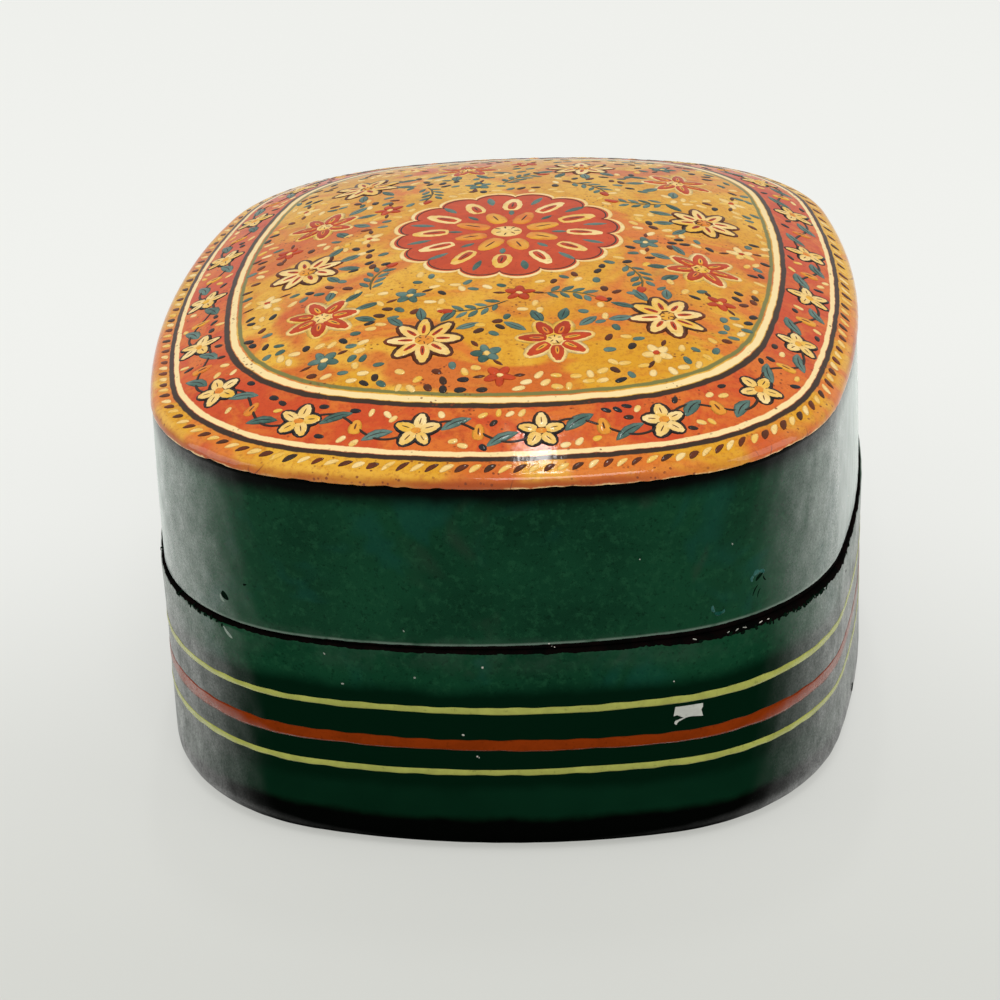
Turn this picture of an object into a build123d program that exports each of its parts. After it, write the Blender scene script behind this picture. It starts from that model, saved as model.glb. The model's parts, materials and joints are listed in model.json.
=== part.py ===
"""Papier-mache trinket box: a moulded base with a collar, and a lift-off lid with a domed, painted top.

Millimetres. The origin is the middle of the underside, +Z is up, the short sides face -Y and +Y.
"""

from build123d import *
from math import atan2, cos, degrees, hypot, radians, sin, sqrt
import os

# Plan of the box, over the outside of the base. Every side is a shallow arc that bows outwards.
box_width = 76.0
box_length = 90.0
side_bow = 8.7
end_bow = 10.4
corner_radius = 23.2

# Base: a moulded shell of pulp with a flat underside
base_height = 23.3
base_wall = 3.0
floor_thickness = 3.0
foot_radius = 2.7
floor_corner_radius = 2.0

# Lid: a skirt nearly as deep as the base that leans in a little, closed by a dome with a level edge
lid_skirt_height = 17.2
lid_set_back = 0.4
lid_draft = 0.45
dome_slope_rise = 8.4
dome_power = 2.3
dome_thickness = 2.4
crown_height = 7.55
crown_radius = 185.0
crown_corner_radius = 1.0
ceiling_corner_radius = 1.5

# Painted skin of paper and ground: lies on the dome, turns over its shoulder and ends on the skirt's top edge
skin_thickness = 0.5
skin_overhang = 0.15
skin_edge_height = 0.1
shoulder_radius = 1.2
shoulder_turn = 60.0

# The rims that meet are bevelled, which leaves a dark groove round the box
rim_bevel = 0.5

# Collar: a strip of card bent round inside the base, its ends butted at the back
collar_thickness = 1.4
collar_stand = 5.5
collar_seat = 9.0
collar_clearance = 0.3
collar_ramp = 0.7
collar_end_gap = 0.3

# Sizes that follow from the ones above
half_width = box_width / 2
half_length = box_length / 2
side_radius = (half_length**2 + side_bow**2) / (2 * side_bow)
end_radius = (half_width**2 + end_bow**2) / (2 * end_bow)
skirt_top = base_height + lid_skirt_height
shoulder_foot = skirt_top + skin_edge_height
skirt_top_inset = lid_set_back + lid_draft
skin_inset = skirt_top_inset - skin_overhang
pulp_inset = skin_inset + skin_thickness
pulp_shoulder_radius = shoulder_radius - skin_thickness
lid_inset = base_wall - collar_clearance
dome_foot = shoulder_foot + shoulder_radius * sin(radians(shoulder_turn))
dome_reach = corner_radius - pulp_inset - shoulder_radius - crown_corner_radius
crown_middle = dome_foot + crown_height - crown_radius
ceiling_foot = dome_foot - skin_thickness - dome_thickness
ceiling_reach = corner_radius - lid_inset - ceiling_corner_radius
collar_inset = base_wall + collar_thickness
collar_foot = base_height - collar_seat
collar_top = base_height + collar_stand
ramp_foot = collar_top - collar_ramp


def corner_centre():
    """The corner arc's middle, where it is tangent inside both the side arc and the end arc."""
    side_x = half_width - side_radius
    end_y = half_length - end_radius
    side_reach = side_radius - corner_radius
    end_reach = end_radius - corner_radius
    apart = hypot(side_x, end_y)
    along = (side_reach**2 - end_reach**2 + apart**2) / (2 * apart)
    off = sqrt(side_reach**2 - along**2)
    step_x = -side_x / apart
    step_y = end_y / apart
    return side_x + along * step_x - off * step_y, along * step_y + off * step_x


def cushion(height, inset=0.0):
    """The plan at a height, drawn in from the outline of the base by an inset."""
    corner_x, corner_y = corner_centre()
    side_x = half_width - side_radius
    end_y = half_length - end_radius
    side_turn = degrees(atan2(corner_y, corner_x - side_x))
    end_turn = degrees(atan2(corner_x, corner_y - end_y))
    corner_turn = 90 - side_turn - end_turn
    side = side_radius - inset
    end = end_radius - inset
    corner = corner_radius - inset
    with BuildSketch(Plane.XY.offset(height)) as plan:
        with BuildLine():
            CenterArc((side_x, 0), side, -side_turn, 2 * side_turn)
            CenterArc((corner_x, corner_y), corner, side_turn, corner_turn)
            CenterArc((0, end_y), end, 90 - end_turn, 2 * end_turn)
            CenterArc((-corner_x, corner_y), corner, 90 + end_turn, corner_turn)
            CenterArc((-side_x, 0), side, 180 - side_turn, 2 * side_turn)
            CenterArc((-corner_x, -corner_y), corner, 180 + side_turn, corner_turn)
            CenterArc((0, -end_y), end, 270 - end_turn, 2 * end_turn)
            CenterArc((corner_x, -corner_y), corner, 270 + end_turn, corner_turn)
        make_face()
    return plan.sketch


def bend(height, inset, radius, first, last, steps):
    """Plans round a rounded edge, from one angle to another: 0 is on the wall, 90 on top, -90 underneath."""
    plans = []
    for step in range(steps + 1):
        angle = radians(first + (last - first) * step / steps)
        plans.append(cushion(height + radius * sin(angle), inset + radius * (1 - cos(angle))))
    return plans


def slope(foot, inset, start, reach, steps):
    """Plans up the inward slope of a dome, which eases off as it nears the middle."""
    plans = []
    for step in range(1, steps + 1):
        along = start + reach * (1 - cos(radians(90 * step / steps)))
        rise = dome_slope_rise * (1 - (1 - along / half_width) ** dome_power)
        plans.append(cushion(foot + rise, inset + along))
    return plans


# Base shell: wall and floor moulded as one piece
with BuildPart() as base_shell:
    foot = bend(foot_radius, 0, foot_radius, -90, 0, 3)
    rim = bend(base_height - rim_bevel, 0, rim_bevel, 0, 90, 1)
    loft(foot + rim, ruled=True)
    floor_corner = bend(floor_thickness + floor_corner_radius, base_wall, floor_corner_radius, -90, 0, 2)
    loft(floor_corner + [cushion(base_height, base_wall)], ruled=True, mode=Mode.SUBTRACT)
base_shell.part.label = "base_shell"

# Collar: stands inside the base and enters the lid, with a ramp that guides the lid on
with BuildPart() as base_collar:
    extrude(cushion(collar_foot, base_wall), amount=ramp_foot - collar_foot)
    loft([cushion(ramp_foot, base_wall), cushion(collar_top, base_wall + collar_ramp)], ruled=True)
    extrude(cushion(collar_foot, collar_inset), amount=collar_top - collar_foot, mode=Mode.SUBTRACT)
    with Locations((0, half_length, base_height)):
        Box(collar_end_gap, 3 * collar_inset, 2 * (collar_seat + collar_stand), mode=Mode.SUBTRACT)
base_collar.part.label = "base_collar"

# The pulp of the dome as the skin covers it, cut off by the shallow sphere of the crown
with BuildPart() as dome_pulp:
    pulp_shoulder = bend(shoulder_foot, pulp_inset, pulp_shoulder_radius, 0, shoulder_turn, 1)
    pulp_edge_inset = pulp_inset + pulp_shoulder_radius * (1 - cos(radians(shoulder_turn)))
    pulp_slope = slope(dome_foot - skin_thickness, pulp_edge_inset, 0, dome_reach, 3)
    pulp_crown = cushion(dome_foot + crown_height, pulp_edge_inset + dome_reach)
    loft([cushion(skirt_top, pulp_inset)] + pulp_shoulder + pulp_slope + [pulp_crown], ruled=True)
    with Locations((0, 0, crown_middle)):
        Sphere(crown_radius - skin_thickness, rotation=(90, 0, 0), mode=Mode.INTERSECT)

# Lid shell: skirt and dome moulded as one piece, set in above the skirt to carry the skin
with BuildPart() as lid_shell:
    lid_rim = bend(base_height + rim_bevel, lid_set_back, rim_bevel, -90, 0, 1)
    loft(lid_rim + [cushion(skirt_top, skirt_top_inset)], ruled=True)
    add(dome_pulp.part)
    skirt_inside = [cushion(base_height, lid_inset), cushion(ceiling_foot, lid_inset)]
    ceiling = slope(ceiling_foot, 0, lid_inset, ceiling_reach, 3)
    loft(skirt_inside + ceiling, ruled=True, mode=Mode.SUBTRACT)
lid_shell.part.label = "lid_shell"

# Painted skin
with BuildPart() as lid_painted_skin:
    shoulder = bend(shoulder_foot, skin_inset, shoulder_radius, 0, shoulder_turn, 3)
    edge_inset = skin_inset + shoulder_radius * (1 - cos(radians(shoulder_turn)))
    skin_slope = slope(dome_foot, edge_inset, 0, dome_reach, 4)
    crown = cushion(dome_foot + crown_height, edge_inset + dome_reach)
    loft([cushion(skirt_top, skin_inset)] + shoulder + skin_slope + [crown], ruled=True)
    with Locations((0, 0, crown_middle)):
        Sphere(crown_radius, rotation=(90, 0, 0), mode=Mode.INTERSECT)
    add(dome_pulp.part, mode=Mode.SUBTRACT)
lid_painted_skin.part.label = "lid_painted_skin"

os.makedirs("parts", exist_ok=True)
export_step(base_shell.part, "parts/base_shell.step")
export_step(base_collar.part, "parts/base_collar.step")
export_step(lid_shell.part, "parts/lid_shell.step")
export_step(lid_painted_skin.part, "parts/lid_painted_skin.step")
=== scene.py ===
import json

import bpy
import numpy as np
from bpy.props import FloatProperty, FloatVectorProperty, IntProperty, PointerProperty
from mathutils import Matrix, Vector

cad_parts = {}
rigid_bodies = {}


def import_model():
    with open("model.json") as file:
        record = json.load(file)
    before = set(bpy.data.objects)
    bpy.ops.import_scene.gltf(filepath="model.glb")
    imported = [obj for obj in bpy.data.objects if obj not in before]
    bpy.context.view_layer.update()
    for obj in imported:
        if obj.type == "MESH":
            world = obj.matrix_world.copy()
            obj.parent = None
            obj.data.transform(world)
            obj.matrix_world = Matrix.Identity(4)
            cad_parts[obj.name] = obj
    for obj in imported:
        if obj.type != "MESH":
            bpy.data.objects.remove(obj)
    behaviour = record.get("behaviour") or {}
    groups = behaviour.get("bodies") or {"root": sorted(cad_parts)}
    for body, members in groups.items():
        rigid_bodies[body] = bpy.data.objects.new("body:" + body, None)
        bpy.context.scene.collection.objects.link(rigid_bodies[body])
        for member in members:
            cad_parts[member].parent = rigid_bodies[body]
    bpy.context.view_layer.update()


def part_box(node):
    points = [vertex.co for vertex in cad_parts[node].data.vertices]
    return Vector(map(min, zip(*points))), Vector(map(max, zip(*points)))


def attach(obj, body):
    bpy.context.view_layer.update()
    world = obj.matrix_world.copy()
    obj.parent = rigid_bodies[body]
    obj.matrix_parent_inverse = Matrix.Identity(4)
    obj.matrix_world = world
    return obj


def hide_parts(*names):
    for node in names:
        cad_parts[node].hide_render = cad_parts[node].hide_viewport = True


bl_info = {
    "name": "Papier-mache Trinket Box",
    "version": (1, 0, 0),
    "blender": (4, 5, 0),
    "location": "View3D > Sidebar > Trinket Box",
    "description": "Green lacquered pulp box with painted lines and a hand-painted flower lid",
    "category": "Add Mesh",
}

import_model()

# One millimetre in metres. Shapes are worked out in millimetres and scaled when they become meshes.
MM = 0.001

# The box, in millimetres, as the frame gives it
HALF_WIDTH, HALF_LENGTH, SEAM = np.array(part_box("base_shell")[1]) / MM
SKIN_LOW, SKIN_HIGH = np.array(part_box("lid_painted_skin")) / MM
COLLAR_LOW, COLLAR_HIGH = np.array(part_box("base_collar")) / MM
LID_INSET = HALF_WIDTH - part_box("lid_shell")[1][0] / MM
SKIN_INSET = HALF_WIDTH - SKIN_HIGH[0]
COLLAR_INSET = HALF_WIDTH - COLLAR_HIGH[0]
SKIRT_TOP = SKIN_LOW[2]
LID_TOP = SKIN_HIGH[2]

# How the lid is made, in millimetres: its skin stands out over the skirt and has a low upright edge
SKIN_OVERHANG = 0.15
SKIN_EDGE = 0.1
SKIN_THICKNESS = 0.5
DOME_THICKNESS = 2.9
COLLAR_PLAY = 0.3
RIM_GAP = 0.02

# Columns of a shell's mesh, and the share of the plan at which its last ring lies before the middle
ROUND_STEPS = 720
TIP_SHARE = 0.03

# The photograph's frame in pixels, and the width of the camera's sensor in millimetres
FRAME = 1000
SENSOR = 36.0

# Where the walls are marked, in pixels of that frame
RIM_CHIPS = ((800, 598), (187, 610))
RIM_PALE_BITS = ((695, 637), (728, 630), (737, 627), (744, 625), (760, 620), (768, 617))
LID_PALE_SPECKS = ((552, 646), (549, 644), (555, 647), (640, 560))
BASE_PALE_SPECKS = ((325, 653), (343, 683), (674, 682), (477, 757), (479, 758), (810, 690), (483, 668))
BASE_BLACK_BITS = (
    (838, 560), (846, 571), (815, 582), (822, 588), (806, 592), (800, 598), (790, 602), (222, 624),
)
LID_DENTS = ((225, 596), (245, 585))
LID_SCAR = (759, 578)
LID_SCRATCH = (719, 610)
RIM_SCUFF = (228, 632)
RED_LINE_NICK = (858, 688)
PAPER_CORNER = (675, 707.3)

# Torn bit of pale paper stuck on the base: its outline from that corner, level and upright, in millimetres
PAPER_OUTLINE = (
    (0, 0), (2.81, -0.02), (2.79, -0.4), (2.63, -0.68), (2.79, -1.42), (1.55, -1.26), (1.08, -1.31),
    (0.57, -1.53), (0.26, -1.67), (0.05, -2.02), (-0.13, -1.81), (-0.05, -1.57), (0.83, -1.3),
    (0.15, -0.9), (-0.18, -0.99),
)


def srgb(red, green, blue):
    """A colour read as 0 to 255 screen values, as the linear numbers that paint is mixed from."""
    value = np.array([red, green, blue]) / 255
    linear = np.where(value < 0.04045, value / 12.92, ((value + 0.055) / 1.055) ** 2.4)
    return tuple(float(channel) for channel in linear)


# Plan of the box


def plan_arcs():
    """The eight arcs of the plan, walked from the middle of the back anticlockwise.

    Every side is a shallow arc with a known bow. Its radius is (half chord squared + bow squared) / (2 bow).
    A corner arc is tangent inside both neighbours: its middle lies (their radius - its own) from each middle.
    """
    sizes = bpy.context.scene.trinket_box
    side_bow, end_bow, corner = sizes.side_bow / MM, sizes.end_bow / MM, sizes.corner_radius / MM
    side = (HALF_LENGTH**2 + side_bow**2) / (2 * side_bow)
    end = (HALF_WIDTH**2 + end_bow**2) / (2 * end_bow)
    side_x, end_y = HALF_WIDTH - side, HALF_LENGTH - end
    apart = np.hypot(side_x, end_y)
    along = ((side - corner) ** 2 - (end - corner) ** 2 + apart**2) / (2 * apart)
    off = np.sqrt((side - corner) ** 2 - along**2)
    middle = np.array([side_x, 0]) + along * np.array([-side_x, end_y]) / apart
    middle += off * np.array([-end_y, -side_x]) / apart
    corner_x, corner_y = middle
    side_turn = np.arctan2(corner_y, corner_x - side_x)
    end_turn = np.arctan2(corner_x, corner_y - end_y)
    half = np.pi / 2
    turns = [0, end_turn, half - side_turn, half + side_turn, 2 * half - end_turn, 2 * half + end_turn]
    turns += [3 * half - side_turn, 3 * half + side_turn, 4 * half - end_turn, 4 * half]
    middle_x = np.array([0, -corner_x, -side_x, -corner_x, 0, corner_x, side_x, corner_x, 0])
    middle_y = np.array([end_y, corner_y, 0, -corner_y, -end_y, -corner_y, 0, corner_y, end_y])
    radius = np.array([end, corner, side, corner, end, corner, side, corner, end])
    return half + np.array(turns), middle_x, middle_y, radius


def ways(count):
    """Places evenly spaced once round the plan, as shares of the way round from the middle of the back."""
    return np.arange(count) / count


def walk(way):
    """Arc middle, arc radius and outward normal at a share of the way round, measured by arc length."""
    turns, middle_x, middle_y, radius = plan_arcs()
    length = np.concatenate([[0], np.cumsum(radius * np.diff(turns))])
    way = np.asarray(way, float) % 1.0
    arc = np.clip(np.searchsorted(length / length[-1], way, side="right") - 1, 0, len(radius) - 1)
    turn = np.interp(way, length / length[-1], turns)
    return middle_x[arc], middle_y[arc], radius[arc], np.cos(turn), np.sin(turn)


def plan_length():
    """Length once round the outside of the base, in millimetres: radius times turn, summed over the arcs."""
    turns, *middle, radius = plan_arcs()
    return float(np.sum(radius * np.diff(turns)))


def hand_wave(way, height):
    """Unevenness of the hand-moulded wall, in millimetres: sines round the box, each with a drift in height.

    Two are long swells. The rest are lumps 2 to 7 mm wide, each with a whole number of waves and a drift that
    come from a seed. The far left corner is a little fuller, by a Gaussian.
    """
    round_turn = 2 * np.pi * way
    wave = 0.055 * np.sin(3 * round_turn + 0.6 + 0.22 * height)
    wave = wave + 0.045 * np.sin(5 * round_turn + 3.1 - 0.16 * height)
    rng = np.random.default_rng(21)
    lumps = rng.integers(38, 120, 12), rng.uniform(-1.6, 1.6, 12), rng.uniform(0, 6.28, 12)
    for waves, drift, start in zip(*lumps):
        wave = wave + 0.0025 * np.sin(waves * round_turn + drift * height + start)
    return wave + 0.25 * np.exp(-(((way % 1.0 - 0.185) / 0.035) ** 2))


def wall_inset(height):
    """How far the outside stands in from the plan: the foot's quarter round, the lid's set-back and lean."""
    foot = bpy.context.scene.trinket_box.foot_radius / MM
    in_foot = foot - np.sqrt(np.clip(foot**2 - np.clip(foot - height, 0, foot) ** 2, 0, None))
    lean = (SKIN_INSET + SKIN_OVERHANG - LID_INSET) / (SKIRT_TOP - SEAM)
    return np.where(height > SEAM, LID_INSET + lean * (height - SEAM), in_foot)


def wall_points(way, height, proud, share=1.0):
    """Points at a way round and height: share times (arc middle + (arc radius + proud) times the normal)."""
    middle_x, middle_y, radius, normal_x, normal_y = walk(way)
    x = share * (middle_x + (radius + proud) * normal_x)
    y = share * (middle_y + (radius + proud) * normal_y)
    return np.stack(np.broadcast_arrays(x, y, height), axis=-1)


def edge_share(x, y, inset):
    """How far out a point lies, 0 in the middle and 1 on the plan less an inset: r / reach at its angle."""
    edge = wall_points(np.linspace(0, 1, 2881)[:-1], 0.0, -inset)
    angle = np.arctan2(edge[:, 1], edge[:, 0])
    reach = np.hypot(edge[:, 0], edge[:, 1])
    return np.hypot(x, y) / np.interp(np.arctan2(y, x), angle, reach, period=2 * np.pi)


# Profile of the lid's top


def dome_sizes():
    """Inset and height of the shoulder's upper edge, from its radius and turn."""
    sizes = bpy.context.scene.trinket_box
    radius, turn = sizes.shoulder_radius / MM, sizes.shoulder_turn
    return SKIN_INSET + radius * (1 - np.cos(turn)), SKIRT_TOP + SKIN_EDGE + radius * np.sin(turn)


def dome_height(share):
    """Height of the painted top: shoulder's edge + rise * (1 - share ** power)."""
    foot = dome_sizes()[1]
    power = bpy.context.scene.trinket_box.dome_power
    return foot + (LID_TOP - foot) * (1 - np.clip(share, 0, 1) ** power)


def on_dome(x, y, lift):
    """Points on the painted top at plan places, raised by a lift."""
    height = dome_height(edge_share(x, y, dome_sizes()[0])) + lift
    return np.stack(np.broadcast_arrays(x, y, height), axis=-1)


# Meshes from grids


def tube_faces(rows, ring, tips=True):
    """Faces of a closed tube of loops: four-sided between loops, and fans to one tip at each end."""
    row = np.arange(rows - 1)[:, None] * ring
    step = np.arange(ring)[None, :]
    after = (step + 1) % ring
    quads = np.stack([row + step, row + after, row + ring + after, row + ring + step], -1).reshape(-1, 4)
    if not tips:
        last = (rows - 1) * ring
        close = np.stack([last + step, last + after, after, step], -1).reshape(-1, 4)
        return np.vstack([quads, close]), np.zeros((0, 3), int)
    step, after = step[0], after[0]
    start = np.stack([np.full(ring, rows * ring), after, step], -1)
    top = (rows - 1) * ring
    end = np.stack([np.full(ring, rows * ring + 1), top + step, top + after], -1)
    return quads, np.vstack([start, end])


def tube_mesh(name, loops, first=None, last=None):
    """Mesh of one or many closed tubes.

    loops has the shape (tubes, rows, ring, 3) or (rows, ring, 3) in millimetres. With first and last the ends
    run to a tip, without them the last loop joins the first. The faces are turned so that the volume is
    positive, which is the sum of a . (b x c) / 6 over the triangles.
    """
    if loops.ndim == 3:
        loops = loops[None]
        first = None if first is None else np.asarray(first)[None]
        last = None if last is None else np.asarray(last)[None]
    count, rows, ring = loops.shape[:3]
    points = loops.reshape(count, rows * ring, 3)
    if first is not None:
        points = np.concatenate([points, first[:, None, :], last[:, None, :]], axis=1)
    quads, fans = tube_faces(rows, ring, first is not None)
    a, b, c, d = (points[0][quads[:, side]] for side in range(4))
    volume = np.sum(a * np.cross(b, c)) + np.sum(a * np.cross(c, d))
    if len(fans):
        volume += np.sum(points[0][fans[:, 0]] * np.cross(points[0][fans[:, 1]], points[0][fans[:, 2]]))
    if volume < 0:
        quads, fans = quads[:, ::-1], fans[:, ::-1]
    shift = (np.arange(count) * points.shape[1])[:, None, None]
    faces = (quads[None] + shift).reshape(-1, 4).tolist() + (fans[None] + shift).reshape(-1, 3).tolist()
    mesh = bpy.data.meshes.new(name)
    mesh.from_pydata((points.reshape(-1, 3) * MM).tolist(), [], faces)
    mesh.polygons.foreach_set("use_smooth", np.ones(len(mesh.polygons), bool))
    mesh.update()
    return mesh


def number_points(mesh, name, values):
    """Keeps one number for each point of a mesh, for its material to read."""
    attribute = mesh.attributes.new(name, "FLOAT", "POINT")
    attribute.data.foreach_set("value", np.asarray(values, np.float32).ravel())


def settle(mesh):
    """Sets the lid's far left shoulder lower, by 0.6 mm * share up the lid * Gaussian in plan."""
    points = np.empty(3 * len(mesh.vertices))
    mesh.vertices.foreach_get("co", points)
    x, y, z = points.reshape(-1, 3).T / MM
    up_lid = np.clip((z - SEAM) / (LID_TOP - SEAM), 0, 1)
    points[2::3] -= 0.6 * MM * up_lid * np.exp(-(((x + 22) / 26) ** 2) - ((y - 42) / 26) ** 2)
    mesh.vertices.foreach_set("co", points)


def forget(blocks, name):
    """Removes what an earlier run made under this name."""
    old = blocks.get(name)
    if old is not None:
        blocks.remove(old)


def add_piece(name, mesh, material, body, nodes=()):
    """Puts a mesh into the scene as a piece of the box that rides on a body and may stand for nodes."""
    if body == "lid":
        settle(mesh)
    forget(bpy.data.objects, name)
    mesh.materials.append(material)
    piece = bpy.data.objects.new(name, mesh)
    bpy.context.scene.collection.objects.link(piece)
    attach(piece, body)
    if nodes:
        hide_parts(*nodes)


def arc_profile(middle_inset, middle_height, radius, first, last, steps):
    """Profile round a rounded edge, as insets and heights: 0 degrees points out of the wall, 90 up."""
    angle = np.radians(np.linspace(first, last, steps))
    return middle_inset - radius * np.cos(angle), middle_height + radius * np.sin(angle)


def join_profile(*runs):
    """Strings runs of (share, inset, height) into three arrays."""
    parts = [np.broadcast_arrays(*(np.atleast_1d(np.asarray(value, float)) for value in run)) for run in runs]
    return tuple(np.concatenate([part[kind] for part in parts]) for kind in range(3))


def shell_loops(share, inset, height, steps, wave=1.0):
    """A profile carried round the plan: rows are the profile, columns go round the box by arc length.

    point = share * (arc middle + (arc radius - inset + wave * hand_wave) * normal), at its height
    """
    way, height = ways(steps)[None, :], height[:, None]
    wave = np.broadcast_to(wave, share.shape)[:, None]
    return wall_points(way, height, wave * hand_wave(way, height) - inset[:, None], share[:, None])


# Finishes


class Coats:
    """Builds up one finish from its ground to its gloss, by Object coordinates or a piece's own numbers.

    A noise is told by its scale, detail, roughness and bend, and its own coordinates where it is stretched.
    """

    def __init__(self, name):
        forget(bpy.data.materials, name)
        self.material = bpy.data.materials.new(name)
        self.material.use_nodes = True
        self.tree = self.material.node_tree
        self.tree.nodes.clear()
        self.place = self.node("ShaderNodeTexCoord").outputs["Object"]

    def node(self, kind, inputs=(), **settings):
        """Adds a node. An input that is given a socket is linked to it, and any other is set."""
        made = self.tree.nodes.new(kind)
        for key, value in settings.items():
            setattr(made, key, value)
        for key, value in dict(inputs).items():
            socket = made.inputs[key]
            if isinstance(value, bpy.types.NodeSocket):
                self.tree.links.new(value, socket)
            else:
                socket.default_value = (*value, 1.0) if socket.type == "RGBA" else value
        return made

    def maths(self, kind, first, second=0.0):
        return self.node("ShaderNodeMath", {0: first, 1: second}, operation=kind).outputs[0]

    def plus(self, first, second):
        return self.maths("ADD", first, second)

    def times(self, first, second):
        return self.maths("MULTIPLY", first, second)

    def scaled(self, value, by, plus):
        return self.node("ShaderNodeMath", {0: value, 1: by, 2: plus}, operation="MULTIPLY_ADD").outputs[0]

    def step(self, value, low, high):
        """0 below low, 1 above high and smooth between. With low above high it falls instead."""
        inputs = {"Value": value, "From Min": min(low, high), "From Max": max(low, high)}
        inputs["To Min"], inputs["To Max"] = (1.0, 0.0) if low > high else (0.0, 1.0)
        return self.node("ShaderNodeMapRange", inputs, interpolation_type="SMOOTHSTEP").outputs[0]

    def mix(self, share, first, second):
        return self.node("ShaderNodeMix", {0: share, 6: first, 7: second}, data_type="RGBA").outputs[2]

    def along(self, axis):
        """Place along an axis, in millimetres from the middle of the underside."""
        return self.times(self.node("ShaderNodeSeparateXYZ", {"Vector": self.place}).outputs[axis], 1 / MM)

    def stretched(self, across, upright):
        """Object coordinates scaled by one number across and another upright, for brush streaks."""
        inputs = {"Vector": self.place, "Scale": (across, across, upright)}
        return self.node("ShaderNodeMapping", inputs).outputs[0]

    def number(self, name):
        """The piece's own number of this name."""
        return self.node("ShaderNodeAttribute", attribute_name=name).outputs["Fac"]

    def noise(self, scale, detail=2.0, rough=0.5, bend=0.0, place=None):
        inputs = {"Vector": place or self.place, "Scale": scale, "Detail": detail, "Roughness": rough}
        inputs["Distortion"] = bend
        return self.node("ShaderNodeTexNoise", inputs).outputs["Fac"]

    def spots(self, scale, feature="F1"):
        inputs = {"Vector": self.place, "Scale": scale}
        return self.node("ShaderNodeTexVoronoi", inputs, feature=feature).outputs["Distance"]

    def uneven(self, value, by, *noise):
        """A value that wavers with a noise, over a range of this width about itself."""
        return self.plus(value, self.scaled(self.noise(*noise), by, -by / 2))

    def layers(self, colour, *layers):
        """Paints laid over a ground in soft patches.

        A layer is its colour, its strength, the values of its noise between which it sets in, and the noise.
        """
        for paint, strength, low, high, *noise in layers:
            patch = self.times(self.step(self.noise(*noise), low, high), strength)
            colour = self.mix(patch, colour, paint)
        return colour

    def bumps(self, *layers):
        """Fine relief, one layer over another. A layer is its height in millimetres and its noise."""
        inputs = {"Strength": 1.0}
        for rise, *noise in layers:
            inputs.update({"Height": self.noise(*noise), "Distance": rise * MM})
            inputs["Normal"] = self.node("ShaderNodeBump", inputs).outputs[0]
        return inputs["Normal"]

    def glare(self, low, high):
        """Coat weight of the walls' lacquer: patchy, 0 face on, rising as the view slants from low to high.

        It needs a slant 0.3 greater where the piece's own number "polish" is 0, in the middle of the walls.
        """
        slant = self.node("ShaderNodeLayerWeight", {"Blend": 0.5}).outputs["Facing"]
        slant = self.plus(slant, self.scaled(self.number("polish"), 0.3, -0.3))
        patchy = self.scaled(self.noise(420, 6, 0.78, 0.0, self.stretched(1.0, 0.75)), 2.0, 0.02)
        grain = self.scaled(self.noise(4600, 2, 0.6), 1.3, 0.35)
        patchy = self.times(self.maths("MAXIMUM", patchy, 0.1), grain)
        return self.times(self.step(slant, low, high), patchy)

    def finish(self, colour, roughness, normal, **more):
        """Ends the finish. More settings are the shader's own, with a low line for each space in a name."""
        inputs = {"Base Color": colour, "Roughness": roughness, "Normal": normal, "Coat Normal": normal}
        inputs.update({name.replace("_", " "): value for name, value in more.items()})
        shader = self.node("ShaderNodeBsdfPrincipled", inputs)
        self.node("ShaderNodeOutputMaterial", {"Surface": shader.outputs[0]})
        return self.material


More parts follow.
